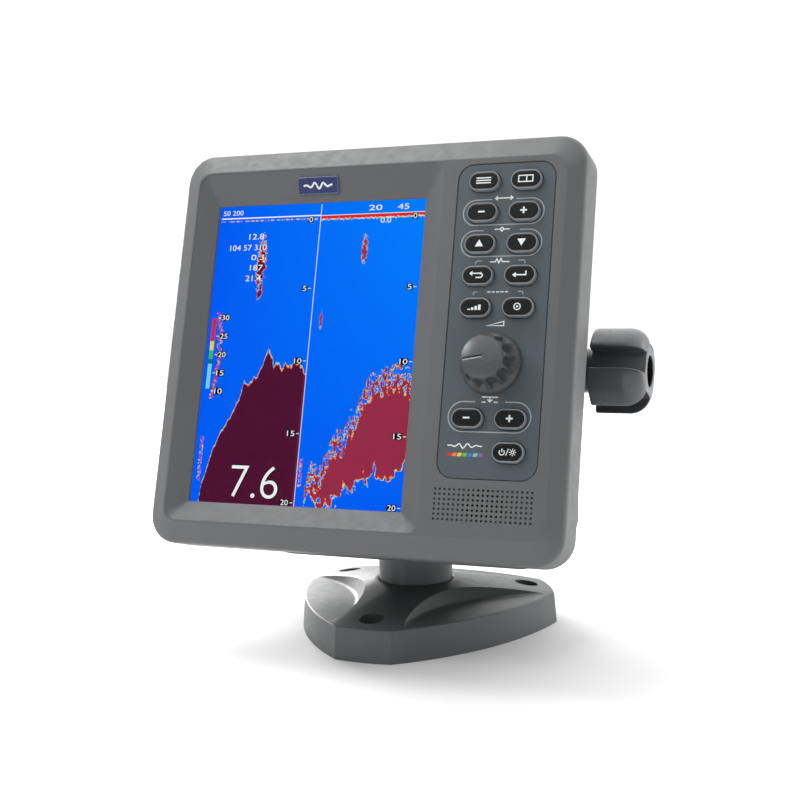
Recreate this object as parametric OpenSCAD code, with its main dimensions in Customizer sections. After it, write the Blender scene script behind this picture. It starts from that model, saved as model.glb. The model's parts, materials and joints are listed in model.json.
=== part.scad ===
// Fish finder: a display unit that tilts in a swivelling yoke on a three-cornered base.
// Millimetres, +Z up, the user stands on the -Y side, the origin is under the base.

/* [Display unit] */
// Width of the front bezel
face_w = 200; // [196:1:206]
// Height of the front bezel
face_h = 189; // [186:1:194]
// Corner radius of the front bezel
face_corner = 13; // [10:1:16]
// Height of the raised front above the bezel's rim
face_rise = 5.5; // [5.2:0.1:6.5]
// Depth of the bezel's side wall
side_depth = 19; // [18:1:24]
// Wall thickness of the two mouldings
wall = 3; // [2.5:0.1:3.5]
// Backward tilt of the display unit at rest
head_tilt = 16; // [5:1:20]
// Height of the tilt axis above the table
pivot_height = 129.5; // [127:0.5:140]
// Distance of the tilt axis behind the bezel's rim
pivot_back = 65; // [60:1:66]
// Height of the tilt axis above the middle of the bezel
pivot_rise = 2; // [0:0.5:4]
// Width of the rear case
case_w = 144; // [140:1:150]
// Height of the rear case
case_h = 156; // [146:1:158]
// Depth of the whole unit behind the bezel's rim
case_depth = 98; // [94:1:104]

/* [Screen] */
// Width of the visible picture
screen_w = 106.6; // [100:0.2:107]
// Height of the visible picture
screen_h = 143; // [136:0.2:144]
// Sideways place of the picture's middle
screen_u = -27.2; // [-28:0.1:-26]
// Upward place of the picture's middle
screen_v = -3.1; // [-5:0.1:-2]

/* [Keypad] */
// Width of the keypad's front sheet
pad_w = 44.2; // [42:0.2:46]
// Height of the keypad's front sheet
pad_h = 139.8; // [136:0.2:141]
// Sideways place of the keypad's middle
pad_u = 65.4; // [64:0.1:66]
// Upward place of the keypad's middle
pad_v = 10.7; // [9:0.1:11]
// Width of one key
key_w = 14.2; // [12:0.2:14.6]
// Height of one key
key_h = 8.8; // [8:0.2:9.4]
// Sideways distance between the two columns of keys
key_pitch_u = 19.2; // [18:0.2:20]
// Upward distance between the rows of keys
key_pitch_v = 14.3; // [13:0.1:14.6]
// How far a key stands above the front sheet
key_rise = 2.6; // [1.8:0.1:3]
// Travel of a key
key_travel = 0.8; // [0.5:0.1:0.8]
// Diameter of the gain knob's skirt
gain_d = 27; // [24:0.2:28]
// Height of the gain knob
gain_h = 15; // [12:0.5:17]

/* [Yoke and clamp knobs] */
// Diameter of the yoke's stem
stem_d = 37.2; // [32:0.2:38]
// Thickness of the yoke's arms and bridge
yoke_t = 5.6; // [4:0.1:6]
// Width of the yoke's arms, front to back
yoke_depth = 38; // [30:1:40]
// Diameter of a clamp knob
knob_d = 40; // [34:1:44]
// Length of a clamp knob's grip
knob_len = 28; // [24:1:32]

/* [Base] */
// Distance from the stem's axis to a corner of the base
corner_reach = 71; // [70:0.5:76]
// Distance from the stem's axis to the middle of a side
side_reach = 57.5; // [56:0.5:60]
// Radius of the arc along a side
side_radius = 140; // [120:5:160]
// Height of the base's wall
base_wall_h = 15.5; // [15:0.5:16]
// Height of the base at the stem
base_h = 23.7; // [23:0.1:24.5]
// Radius of the circle of fixing holes
fixing_radius = 57.5; // [56:0.5:59]

/* [Hidden] */
$fn = 48;
HULL_FN = 40;
EPS = 0.01;

// Front sheet, glass and picture, all measured forwards from the bezel's rim
sheet_t = 0.6;
sheet_front = face_rise - 0.1;
inside_front = face_rise - wall;
lip_t = 1;
glass_t = 1.6;
panel_t = 2;
backlight_t = 4;
tray_back = -lip_t - glass_t - panel_t - backlight_t - 0.8;
bracket_t = 1.5;
bracket_back = tray_back - bracket_t;
board_t = 1.6;
key_board_front = -lip_t + 0.4;
key_board_back = key_board_front - board_t;
main_board_front = bracket_back - 11.5;
main_board_back = main_board_front - board_t;
sonar_board_back = -66;
sonar_board_front = sonar_board_back + board_t;

// Widths of the bezel's outer slope on its four sides
slope_left = 9.5;
slope_right = 7.3;
slope_top = 10.7;
slope_bottom = 10;
ridge_left = -face_w / 2 + slope_left;
ridge_right = face_w / 2 - slope_right;
ridge_top = face_h / 2 - slope_top;
ridge_bottom = -face_h / 2 + slope_bottom;
ridge_land = 0.7;
recess_right = pad_u - pad_w / 2 - 7.5;

// Joint between the bezel and the rear case
seal_t = 0.8;
flange_front = -side_depth - seal_t;
flange_t = 2.5;
flange_back = flange_front - flange_t;
flange_inset = 1.5;
straight_end = -82;
case_bolt_u = face_w / 2 - 7.3;
case_bolt_v = face_h / 2 - 13.5;
case_bolt_mid_v = face_h / 2 - 7.1;
CASE_BOLTS = [
    for (s = [-1, 1]) for (t = [-1, 1]) [s * case_bolt_u, t * case_bolt_v],
    for (t = [-1, 1]) [0, t * case_bolt_mid_v]
];
LCD_POSTS = [for (s = [-1, 1]) for (t = [-1, 1]) [screen_u + s * 62, screen_v + t * 55]];
board_u = -14;
board_w = 106;
BOARD_POSTS = [for (s = [-1, 1]) for (t = [-1, 1]) [board_u + s * 46, t * 44]];
sonar_v = 22;
SONAR_POSTS = [for (s = [-1, 1]) for (t = [-1, 1]) [s * 45, sonar_v + t * 35]];
KEY_BOARD_POSTS = [for (s = [-1, 1]) for (t = [-1, 1]) [pad_u + s * 21.4, pad_v + t * 60]];

// Keys: name, column (-1 left, 1 right), upward place
key_u = pad_u - 0.1;
key_v = 72.4;
range_v = -33.4;
power_v = -47.7;
KEYS = [
    ["key_menu", -1, key_v],
    ["key_mode", 1, key_v],
    ["key_shift_minus", -1, key_v - key_pitch_v],
    ["key_shift_plus", 1, key_v - key_pitch_v],
    ["key_marker_up", -1, key_v - 2 * key_pitch_v],
    ["key_marker_down", 1, key_v - 2 * key_pitch_v],
    ["key_escape", -1, key_v - 3 * key_pitch_v],
    ["key_enter", 1, key_v - 3 * key_pitch_v],
    ["key_signal_level", -1, key_v - 4 * key_pitch_v],
    ["key_auto", 1, key_v - 4 * key_pitch_v],
    ["key_range_minus", -1, range_v],
    ["key_range_plus", 1, range_v],
    ["key_power", 1, power_v]
];
function key_place(k) = [key_u + k[1] * key_pitch_u / 2, k[2]];
key_gap = 0.3;
key_bevel = 0.8;
key_flange = 1.1;
key_flange_top = inside_front - 0.1;
key_flange_t = 0.9;

// Gain control
gain_u = 64.4;
gain_v = -9.3;
gain_base = sheet_front + 0.5;
shaft_r = 3;
shaft_fit = 0.08;
pot_r = 8.5;
bushing_r = 3.6;

// Loudspeaker and its grille
speaker_u = 64.8;
speaker_v = -70.5;
speaker_r = 13;
grille_pitch = 2.15;
grille_columns = 21;
grille_rows = 7;
grille_r = 0.55;

// Clamp across the tilt axis, from the rear case outwards
disc_t = 2;
arm_in = case_w / 2 + disc_t + 0.2;
arm_out = arm_in + yoke_t;
washer_t = 1.5;
washer_in = arm_out + 0.1;
knob_in = washer_in + washer_t + 0.1;
hub_len = 10.5;
knob_out = knob_in + hub_len + knob_len;
stud_r = 3.95;
insert_bore = 4;
insert_len = 14;
hub_r = 10.5;
knob_hole_r = 7.5;

// Yoke
bridge_bottom = 36;
bridge_top = bridge_bottom + 6;
arm_corner = 20;
swivel_bolt_r = 5;
swivel_fit = 0.08;

// Base
web_bottom = 9;
web_top = 13;
bush_flange_t = 1.5;
stem_bottom = web_top + bush_flange_t + 0.1;
socket_r = stem_d / 2 + 0.3;
CORNERS = [30, 150, 270];
fixing_r = 2.75;
counterbore_r = 6;
counterbore_floor = 6;
scoop_distance = 101.8;
scoop_r = 75.9;
scoop_slope = 4.8;
scoop_floor = 15.2;

// ---- Shapes used more than once ----

// Face coordinates: x to the right, y up the face, z out of the face from the bezel's rim
module head() {
    translate([0, 0, pivot_height]) rotate([90 - head_tilt, 0, 0])
        translate([0, -pivot_rise, pivot_back]) children();
}

module rounded(w, h, r) {
    square([w - 2 * r, h], center = true);
    square([w, h - 2 * r], center = true);
    for (s = [-1, 1]) for (t = [-1, 1])
        translate([s * (w / 2 - r), t * (h / 2 - r)]) circle(r = r);
}

// A rounded plate between two heights
module plate(w, h, r, low, high) {
    translate([0, 0, low]) linear_extrude(high - low) rounded(w, h, r);
}

module stadium(w, h, low, high) {
    plate(w, h, h / 2 - EPS, low, high);
}

module tube(outer, inner, low, high) {
    translate([0, 0, low]) difference() {
        cylinder(r = outer, h = high - low);
        translate([0, 0, -EPS]) cylinder(r = inner, h = high - low + 2 * EPS);
    }
}

module rod(r, low, high, sides = 48) {
    translate([0, 0, low]) cylinder(r = r, h = high - low, $fn = sides);
}

module at_each(places) {
    for (p = places) translate([p[0], p[1], 0]) children();
}

// A pan-head screw that enters forwards: its head's seat is at z = seat
module screw(shank_r, head_r, head_t, seat, tip) {
    rod(shank_r, seat - EPS, tip);
    difference() {
        rod(head_r, seat - head_t, seat);
        for (a = [0, 90]) rotate(a)
            translate([0, 0, seat - head_t]) cube([head_r * 1.1, head_r * 0.28, head_t], center = true);
    }
}

// Brings a shape drawn outwards along z to one end of the tilt axis
module on_axis(side) {
    head() translate([0, pivot_rise, -pivot_back]) rotate([0, side * 90, 0]) children();
}

// ---- Base ----

module side_arc(corner, inset) {
    rotate(corner) translate([side_radius - side_reach, 0]) circle(r = side_radius - inset, $fn = 96);
}

// The base's three-cornered plan, smaller by an inset, between two heights
module base_outline(low, high, inset) {
    translate([0, 0, low]) linear_extrude(high - low) intersection() {
        side_arc(CORNERS[0], inset);
        side_arc(CORNERS[1], inset);
        side_arc(CORNERS[2], inset);
        circle(r = corner_reach - inset, $fn = 96);
    }
}

module base_top() {
    rotate_extrude($fn = 96) polygon([
        [0, 0], [corner_reach + 2, 0], [corner_reach + 2, base_wall_h],
        [stem_d / 2 + 3, base_h], [0, base_h]
    ]);
}

module base_shell() {
    color([0.40, 0.41, 0.42]) difference() {
        union() {
            difference() {
                intersection() {
                    base_outline(0, base_h + 1, 0);
                    base_top();
                }
                base_outline(-EPS, scoop_floor - wall, wall);
            }
            rod(stem_d / 2 + 5, web_bottom, scoop_floor);
            for (c = CORNERS) rotate(c) {
                translate([fixing_radius, 0, 0]) rod(8.5, 0, scoop_floor - wall / 2);
                translate([stem_d / 2 + 3, -1.5, 3]) cube([fixing_radius - stem_d / 2 - 9, 3, scoop_floor - 4]);
            }
        }
        for (c = CORNERS) rotate(c) {
            translate([fixing_radius, 0, 0]) {
                rod(fixing_r, -1, base_h);
                rod(counterbore_r, counterbore_floor, base_h + 5);
            }
            rotate(180) translate([scoop_distance, 0, scoop_floor])
                cylinder(r1 = scoop_r - scoop_slope, r2 = scoop_r, h = base_h - scoop_floor, $fn = 96);
        }
        rod(socket_r, web_top, base_h + 1);
        rod(8, web_bottom - 1, web_top + 1);
    }
}

module swivel_bush() {
    color("ivory") {
        tube(8, swivel_bolt_r + swivel_fit, web_bottom, web_top + EPS);
        tube(stem_d / 2 - 2, swivel_bolt_r + swivel_fit, web_top, web_top + bush_flange_t);
    }
}

// ---- Yoke and its swivel ----

module yoke_profile() {
    difference() {
        translate([0, (bridge_bottom + 200) / 2])
            rounded(2 * arm_out, 200 - bridge_bottom, arm_corner);
        translate([0, (bridge_top + 240) / 2])
            rounded(2 * arm_in, 240 - bridge_top, arm_corner - 5);
    }
}

module yoke() {
    color([0.33, 0.34, 0.35]) difference() {
        union() {
            intersection() {
                translate([0, yoke_depth / 2, 0]) rotate([90, 0, 0])
                    linear_extrude(yoke_depth) yoke_profile();
                rotate([90, 0, 90]) translate([0, 0, -arm_out - 1])
                    linear_extrude(2 * arm_out + 2) union() {
                        translate([0, pivot_height]) circle(r = yoke_depth / 2);
                        translate([-yoke_depth / 2, 0]) square([yoke_depth, pivot_height]);
                    }
            }
            rod(stem_d / 2, stem_bottom, bridge_bottom + 1);
        }
        rod(swivel_bolt_r + 0.05, 0, bridge_top + 1);
        rod(10, bridge_bottom + 1, bridge_top + 1);
        translate([0, 0, pivot_height]) rotate([0, 90, 0]) rod(stud_r + 0.4, -arm_out - 1, arm_out + 1);
    }
}

module swivel_bolt() {
    color("silver") {
        rod(swivel_bolt_r, 1.2, bridge_bottom + 1 + EPS);
        rod(9.2, bridge_bottom + 1, bridge_top, 6);
    }
}

module swivel_washer() {
    color("silver") tube(12, swivel_bolt_r + 0.02, web_bottom - 1.6, web_bottom - 0.1);
}

module swivel_nut() {
    color("silver") difference() {
        rod(9.2, 2.4, web_bottom - 1.6, 6);
        rod(swivel_bolt_r + 0.02, 0, web_bottom);
    }
}

// ---- Housing of the display unit ----

module bezel_outside() {
    hull() {
        translate([0, 0, -EPS]) linear_extrude(EPS) rounded(face_w, face_h, face_corner, $fn = HULL_FN);
        translate([(ridge_left + ridge_right) / 2, (ridge_bottom + ridge_top) / 2, 0])
            plate(ridge_right - ridge_left, ridge_top - ridge_bottom, 8,
                  face_rise - EPS, face_rise, $fn = HULL_FN);
    }
    plate(face_w, face_h, face_corner, -side_depth, 0);
}

// The sloping sides that lead down to the picture
module screen_recess() {
    recess_left = ridge_left + ridge_land;
    recess_top = ridge_top - ridge_land;
    recess_bottom = ridge_bottom + ridge_land;
    hull() {
        translate([screen_u, screen_v, -EPS])
            linear_extrude(EPS) square([screen_w, screen_h], center = true);
        translate([(recess_left + recess_right) / 2, (recess_bottom + recess_top) / 2, 0])
            plate(recess_right - recess_left, recess_top - recess_bottom, 4,
                  face_rise, face_rise + EPS, $fn = 24);
    }
    translate([screen_u, screen_v, -5]) linear_extrude(6) square([screen_w, screen_h], center = true);
}

module speaker_grille() {
    for (i = [0:grille_columns - 1]) for (j = [0:grille_rows - 1]) {
        du = (i - (grille_columns - 1) / 2) * grille_pitch;
        dv = (j - (grille_rows - 1) / 2) * grille_pitch;
        through = norm([du, dv * 1.4]) < speaker_r - 3;
        translate([speaker_u + du, speaker_v + dv, through ? inside_front - 1 : face_rise - 0.8])
            cylinder(r = grille_r, h = 6, $fn = 16);
    }
}

module front_bezel() {
    color([0.42, 0.43, 0.43]) head() difference() {
        union() {
            difference() {
                bezel_outside();
                plate(face_w - 2 * wall, face_h - 2 * wall, face_corner - wall, -side_depth - 1, -lip_t);
                translate([pad_u - 0.5, (ridge_top + ridge_bottom) / 2, 0])
                    plate(51, ridge_top - ridge_bottom - 0.6, 6, -lip_t - 1, inside_front);
            }
            at_each(CASE_BOLTS) rod(4.8, -side_depth, -4);
            at_each(LCD_POSTS) rod(3.5, tray_back, 0);
            at_each(KEY_BOARD_POSTS) rod(1.8, key_board_front, inside_front + 1);
        }
        screen_recess();
        translate([pad_u, pad_v, 0]) plate(pad_w + 0.5, pad_h + 0.5, 7.2, sheet_front - sheet_t, face_rise + 1);
        at_each([for (k = KEYS) key_place(k)])
            stadium(key_w + 2 * key_gap, key_h + 2 * key_gap, 0, face_rise + 1);
        translate([gain_u, gain_v, 0]) rod(bushing_r + 0.1, 0, face_rise + 1);
        speaker_grille();
        at_each(CASE_BOLTS) rod(2, -side_depth - 1, -7);
        at_each(LCD_POSTS) rod(1.5, tray_back - 1, -3);
    }
}

module case_outside(grow) {
    plate(case_w + 2 * grow, case_h + 2 * grow, 10 + grow, straight_end, flange_front);
    hull() {
        plate(case_w + 2 * grow, case_h + 2 * grow, 10 + grow,
              straight_end, straight_end + EPS, $fn = 24);
        plate(case_w - 20 + 2 * grow, case_h - 22 + 2 * grow, 10 + grow,
              -case_depth - grow, -case_depth - grow + EPS, $fn = 24);
    }
}

module rear_case() {
    color([0.40, 0.41, 0.42]) head() difference() {
        union() {
            difference() {
                union() {
                    case_outside(0);
                    plate(face_w - 2 * flange_inset, face_h - 2 * flange_inset,
                          face_corner - flange_inset, flange_back, flange_front);
                }
                case_outside(-wall);
                plate(case_w - 2 * wall, case_h - 2 * wall, 10 - wall, flange_front - 1, flange_front + 1);
            }
            for (s = [-1, 1]) translate([0, pivot_rise, -pivot_back]) rotate([0, s * 90, 0])
                rod(10, case_w / 2 - insert_len - 2, case_w / 2 - 1);
            at_each(SONAR_POSTS) rod(3.5, -case_depth + 1, sonar_board_back);
        }
        for (s = [-1, 1]) translate([0, pivot_rise, -pivot_back]) rotate([0, s * 90, 0])
            rod(7, case_w / 2 - insert_len, case_w / 2 + 1);
        at_each(CASE_BOLTS) rod(2.2, flange_back - 1, flange_front + 1);
        at_each(SONAR_POSTS) rod(1.5, -case_depth + wall + 2, sonar_board_back + 1);
        for (s = SOCKETS) translate([s[0], s[1], 0]) rod(s[2] - 1, -case_depth - 1, -case_depth + wall + 1);
        translate([EARTH[0], EARTH[1], 0]) rod(2.05, -case_depth - 1, -case_depth + wall + 1);
    }
}

module case_seal() {
    color([0.08, 0.08, 0.08]) head() difference() {
        plate(face_w - 2.4, face_h - 2.4, face_corner - 1.2, flange_front, -side_depth);
        plate(face_w - 5.6, face_h - 5.6, face_corner - 2.8, flange_front - 1, -side_depth + 1);
    }
}

module case_screws() {
    color("silver") head() at_each(CASE_BOLTS) screw(1.95, 3.6, 2.6, flange_back, -9);
}

module badge_plate() {
    lean = atan(face_rise / (ridge_top - ridge_land - screen_v - screen_h / 2));
    color([0.16, 0.26, 0.48]) head()
        translate([screen_u, screen_v + screen_h / 2, 0]) rotate([lean, 0, 0])
            translate([0, 7.9, 0]) plate(20.7, 8, 0.8, 0.02, 0.9);
}

module pivot_inserts() {
    color("goldenrod") for (s = [-1, 1]) on_axis(s)
        tube(7, insert_bore, case_w / 2 - insert_len, case_w / 2);
}

module friction_discs() {
    color([0.1, 0.1, 0.1]) for (s = [-1, 1]) on_axis(s)
        tube(17, 5.5, case_w / 2, case_w / 2 + disc_t);
}

// ---- Picture ----

module over_screen() {
    head() translate([screen_u, screen_v, 0]) children();
}

module cover_glass() {
    color([0.5, 0.6, 0.7, 0.4]) over_screen()
        plate(screen_w + 8, screen_h + 8, 2, -lip_t - glass_t, -lip_t);
}

module lcd_panel() {
    color([0.05, 0.35, 0.85]) over_screen()
        plate(screen_w + 6, screen_h + 6, 1, -lip_t - glass_t - panel_t, -lip_t - glass_t);
}

module backlight() {
    color("white") over_screen()
        plate(screen_w + 6, screen_h + 6, 1, tray_back + 0.8, tray_back + 0.8 + backlight_t);
}

module lcd_tray() {
    color("silver") over_screen() difference() {
        plate(screen_w + 9, screen_h + 9, 2, tray_back, -lip_t - glass_t);
        plate(screen_w + 6, screen_h + 6, 1, tray_back + 0.8, 0);
    }
}

module lcd_bracket() {
    color("silver") head() difference() {
        translate([screen_u, screen_v, 0]) plate(131, 142, 4, bracket_back, tray_back);
        at_each(LCD_POSTS) rod(1.6, bracket_back - 1, tray_back + 1);
        translate([screen_u, screen_v, 0]) plate(60, 70, 8, bracket_back - 1, tray_back + 1);
    }
}

module lcd_screws() {
    color("silver") head() at_each(LCD_POSTS) screw(1.45, 2.8, 2, bracket_back, -4);
}

// ---- Keypad and gain control ----

module keypad_sheet() {
    color([0.33, 0.37, 0.40]) head() difference() {
        translate([pad_u, pad_v, 0]) plate(pad_w, pad_h, 7, sheet_front - sheet_t, sheet_front);
        at_each([for (k = KEYS) key_place(k)])
            stadium(key_w + 2 * key_gap, key_h + 2 * key_gap, 0, face_rise + 1);
        translate([gain_u, gain_v, 0]) rod(bushing_r + 0.2, 0, face_rise + 1);
    }
}

module key(k) {
    low = key_flange_top - key_flange_t;
    top = sheet_front + key_rise;
    color([0.10, 0.10, 0.11]) head() translate(concat(key_place(k), 0)) {
        stadium(key_w + 2 * key_flange, key_h + 2 * key_flange, low, key_flange_top);
        stadium(key_w, key_h, low, top - 1.2);
        stadium(key_w - 2 * key_bevel, key_h - 2 * key_bevel, low, top);
    }
}

module keypad_mat() {
    mat_front = key_flange_top - key_flange_t - key_travel - 0.5;
    color([0.75, 0.75, 0.72]) head() {
        difference() {
            translate([key_u, pad_v, 0]) plate(38, 132, 3, key_board_front, mat_front);
            translate([gain_u, gain_v, 0]) rod(pot_r + 0.5, -5, 5);
        }
        at_each([for (k = KEYS) key_place(k)]) rod(3.4, mat_front - EPS, mat_front + 0.4);
    }
}

module key_board() {
    color([0.05, 0.35, 0.2]) head() difference() {
        translate([pad_u, pad_v + 1, 0]) plate(47, 134, 2, key_board_back, key_board_front);
        translate([gain_u, gain_v, 0]) rod(pot_r + 0.5, -5, 5);
    }
}

module gain_potentiometer() {
    color("silver") head() translate([gain_u, gain_v, 0]) difference() {
        union() {
            rod(pot_r, inside_front - 8.5, inside_front);
            rod(bushing_r, inside_front - EPS, sheet_front + 3);
        }
        rod(shaft_r + shaft_fit, inside_front - 6, sheet_front + 4);
    }
}

module gain_nut() {
    color("silver") head() translate([gain_u, gain_v, 0]) difference() {
        rod(6, sheet_front, sheet_front + 2, 6);
        rod(bushing_r, 0, sheet_front + 4);
    }
}

module gain_shaft() {
    color("silver") head() translate([gain_u, gain_v, 0]) rod(shaft_r, inside_front - 5.8, gain_base + gain_h - 3);
}

module gain_knob() {
    flutes = 12;
    grip_r = gain_d / 2 - 2.2;
    cap_r = grip_r - 1.6;
    top = gain_base + gain_h;
    color([0.36, 0.37, 0.38]) head() translate([gain_u, gain_v, 0]) difference() {
        rotate_extrude($fn = 64) polygon([
            [0, gain_base], [gain_d / 2, gain_base], [gain_d / 2, gain_base + 1.6],
            [grip_r, gain_base + 3.2], [cap_r, top - 1.2], [cap_r - 1.2, top], [0, top]
        ]);
        for (i = [0:flutes - 1]) rotate((i + 0.5) * 360 / flutes)
            translate([grip_r + 0.7, 0, gain_base + 3.2]) rod(1.7, 0, gain_h - 5.5);
        translate([-cap_r + 0.5, -0.5, top - 0.6]) cube([cap_r - 1, 1, 2]);
        rod(7, gain_base - 1, sheet_front + 3.4);
        rod(shaft_r, 0, top - 3);
    }
}

module speaker() {
    color([0.15, 0.15, 0.15]) head() translate([speaker_u, speaker_v, 0]) {
        tube(speaker_r - 0.2, speaker_r - 2.5, inside_front - 1.2, inside_front);
        translate([0, 0, inside_front - 5.2])
            cylinder(r1 = 7, r2 = speaker_r - 0.2, h = 4 + EPS);
        rod(7, inside_front - 10, inside_front - 5.2 + EPS);
    }
}

// ---- Electronics ----

module main_board() {
    color([0.05, 0.35, 0.2]) head() difference() {
        translate([board_u, 0, 0]) plate(board_w, 112, 3, main_board_back, main_board_front);
        at_each(BOARD_POSTS) rod(1.6, main_board_back - 1, main_board_front + 1);
    }
}

module main_board_parts() {
    back = main_board_back;
    color([0.12, 0.12, 0.12]) head() translate([board_u, 0, 0]) {
        translate([-8, 6, 0]) plate(26, 26, 1, back - 2, back);
        for (v = [-8, 20]) translate([26, v, 0]) plate(20, 11, 0.6, back - 1.4, back);
        translate([-38, 12, 0]) plate(14, 36, 1, back - 6, back);
        for (i = [0:3]) translate([-34 + 12 * i, -36, 0]) rod(4, back - 9, back);
        translate([40, -30, 0]) plate(12, 20, 1, back - 8, back);
        translate([4, 45.2, 0]) plate(32, 6, 0.6, back - 5, back);
    }
}

module board_posts() {
    color("goldenrod") head() at_each(BOARD_POSTS) difference() {
        rod(3.2, main_board_front, bracket_back, 6);
        rod(1.5, main_board_front - 1, bracket_back - 3);
    }
}

module board_screws() {
    color("silver") head() {
        at_each(BOARD_POSTS) screw(1.45, 2.8, 2, main_board_back, main_board_front + 6);
        at_each(SONAR_POSTS) translate([0, 0, 2 * sonar_board_front]) mirror([0, 0, 1])
            screw(1.45, 2.8, 2, sonar_board_front, sonar_board_front + board_t + 7);
    }
}

module sonar_board() {
    color([0.05, 0.35, 0.2]) head() difference() {
        translate([0, sonar_v, 0]) plate(104, 84, 3, sonar_board_back, sonar_board_front);
        at_each(SONAR_POSTS) rod(1.6, sonar_board_back - 1, sonar_board_front + 1);
    }
}

module sonar_transformer() {
    front = sonar_board_front;
    color([0.75, 0.55, 0.15]) head() translate([-26, sonar_v + 10, 0]) {
        plate(20, 30, 1, front, front + 6);
        plate(13, 18, 3, front + 6 - EPS, front + 16);
        plate(20, 30, 1, front + 16 - EPS, front + 20);
    }
}

module power_capacitors() {
    color([0.1, 0.12, 0.3]) head() for (i = [0:2])
        translate([-36 + 15 * i, sonar_v - 22, 0]) rod(6.2, sonar_board_front, sonar_board_front + 22);
}

module heat_sink() {
    front = sonar_board_front;
    color([0.2, 0.2, 0.2]) head() translate([25, sonar_v + 2, 0]) {
        plate(30, 50, 1, front, front + 3);
        for (i = [-3:3]) translate([i * 4.4, 0, 0]) plate(1.6, 50, 0.5, front + 3 - EPS, front + 18);
    }
}

// Rear sockets: sideways place, upward place, barrel radius, number of contacts
SOCKETS = [[-46, -40, 9, 2], [-8, -40, 11, 7], [28, -40, 8, 5]];
socket_len = 10;
socket_flange_t = 2.5;
EARTH = [50, -40];

// A threaded barrel with an insulating face, drawn backwards from the rear wall
module socket(s) {
    color([0.2, 0.2, 0.2]) head() translate([s[0], s[1], -case_depth]) mirror([0, 0, 1]) {
        difference() {
            union() {
                rod(s[2] + 3, 0, socket_flange_t);
                rod(s[2], socket_flange_t - EPS, socket_flange_t + socket_len);
                rod(s[2] - 1.05, -wall - 9, EPS);
            }
            for (i = [1:s[3]]) rotate(i * 360 / s[3])
                translate([s[2] / 2, 0, socket_flange_t + socket_len - 6]) rod(0.9, 0, 7, 16);
        }
    }
}

module power_socket() { socket(SOCKETS[0]); }

module sonar_socket() { socket(SOCKETS[1]); }

module data_socket() { socket(SOCKETS[2]); }

module socket_nuts() {
    color("silver") head() for (s = SOCKETS) translate([s[0], s[1], -case_depth + wall])
        difference() {
            rod(s[2] + 2.4, 0, 3, 6);
            rod(s[2] - 1.05, -1, 4);
        }
}

module earth_terminal() {
    color("silver") head() translate([EARTH[0], EARTH[1], -case_depth]) mirror([0, 0, 1]) {
        rod(2, -wall - 6, 13);
        tube(5, 2, 0, 1);
        difference() { rod(4.4, 1, 4.2, 6); rod(2, 0, 5); }
        difference() {
            union() {
                rod(4.4, 5.4, 9);
                translate([0, 0, 8]) cube([20, 2.2, 6], center = true);
            }
            rod(2, 4, 12);
        }
        translate([0, 0, -wall - 3.2]) difference() { rod(4.4, 0, 3.2, 6); rod(2, -1, 5); }
    }
}

// Flat cables: keypad to main board, and main board to sonar board
module ribbon_cables() {
    t = 0.8;
    edge = board_u + board_w / 2;
    turn = main_board_front + 4;
    color([0.7, 0.7, 0.68]) head() {
        translate([0, 10, 0]) rotate([90, 0, 0]) linear_extrude(20) polygon([
            [edge + 8, key_board_back], [edge + 8, turn], [edge - 3, turn], [edge - 3, main_board_front],
            [edge - 3 - t, main_board_front], [edge - 3 - t, turn + t], [edge + 8 - t, turn + t],
            [edge + 8 - t, key_board_back]
        ]);
        translate([board_u + 4, 48.6, sonar_board_front])
            linear_extrude(main_board_back - sonar_board_front) square([30, t], center = true);
    }
}

// ---- Clamp knobs, drawn outwards along z ----

module clamp_knob(side) {
    lobes = 4;
    groove_w = 10.4;
    groove_turn = 9;
    dome = 9;
    grip_in = knob_in + hub_len;
    color([0.27, 0.28, 0.29]) on_axis(side) difference() {
        union() {
            rod(hub_r, knob_in, grip_in + 1);
            difference() {
                rotate_extrude($fn = 64) union() {
                    translate([0, grip_in]) square([knob_d / 2, knob_len - dome]);
                    translate([knob_d / 2 - dome, knob_out - dome]) circle(r = dome);
                    translate([0, knob_out - dome - EPS]) square([knob_d / 2 - dome, dome]);
                }
                for (i = [0:lobes - 1]) rotate(i * 360 / lobes - side * groove_turn)
                    translate([hub_r + 0.8, -groove_w / 2, grip_in - 1])
                        cube([knob_d, groove_w, knob_len + 2]);
            }
        }
        rod(knob_hole_r, knob_out - 12, knob_out + 1);
        rod(stud_r, knob_in - 1, knob_out - 6);
    }
}

module knob_stud(side) {
    color("silver") on_axis(side) rod(stud_r, case_w / 2 - 10, knob_out - 11);
}

module knob_washer(side) {
    color("silver") on_axis(side) tube(13, stud_r + 0.08, washer_in, washer_in + washer_t);
}

module left_knob() { clamp_knob(-1); }

module right_knob() { clamp_knob(1); }

module left_knob_stud() { knob_stud(-1); }

module right_knob_stud() { knob_stud(1); }

module left_knob_washer() { knob_washer(-1); }

module right_knob_washer() { knob_washer(1); }

base_shell();
swivel_bush();
yoke();
swivel_bolt();
swivel_washer();
swivel_nut();
front_bezel();
rear_case();
case_seal();
cover_glass();
lcd_panel();
lcd_tray();
backlight();
lcd_bracket();
lcd_screws();
badge_plate();
keypad_sheet();
keypad_mat();
key_board();
gain_potentiometer();
gain_nut();
main_board();
main_board_parts();
board_posts();
board_screws();
sonar_board();
sonar_transformer();
power_capacitors();
heat_sink();
speaker();
power_socket();
sonar_socket();
data_socket();
socket_nuts();
earth_terminal();
case_screws();
pivot_inserts();
friction_discs();
ribbon_cables();
gain_knob();
gain_shaft();
left_knob();
right_knob();
left_knob_stud();
right_knob_stud();
left_knob_washer();
right_knob_washer();
for (k = KEYS) key(k);
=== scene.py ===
import json
import math

import bmesh
import bpy
from mathutils import Matrix, Vector, noise


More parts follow.
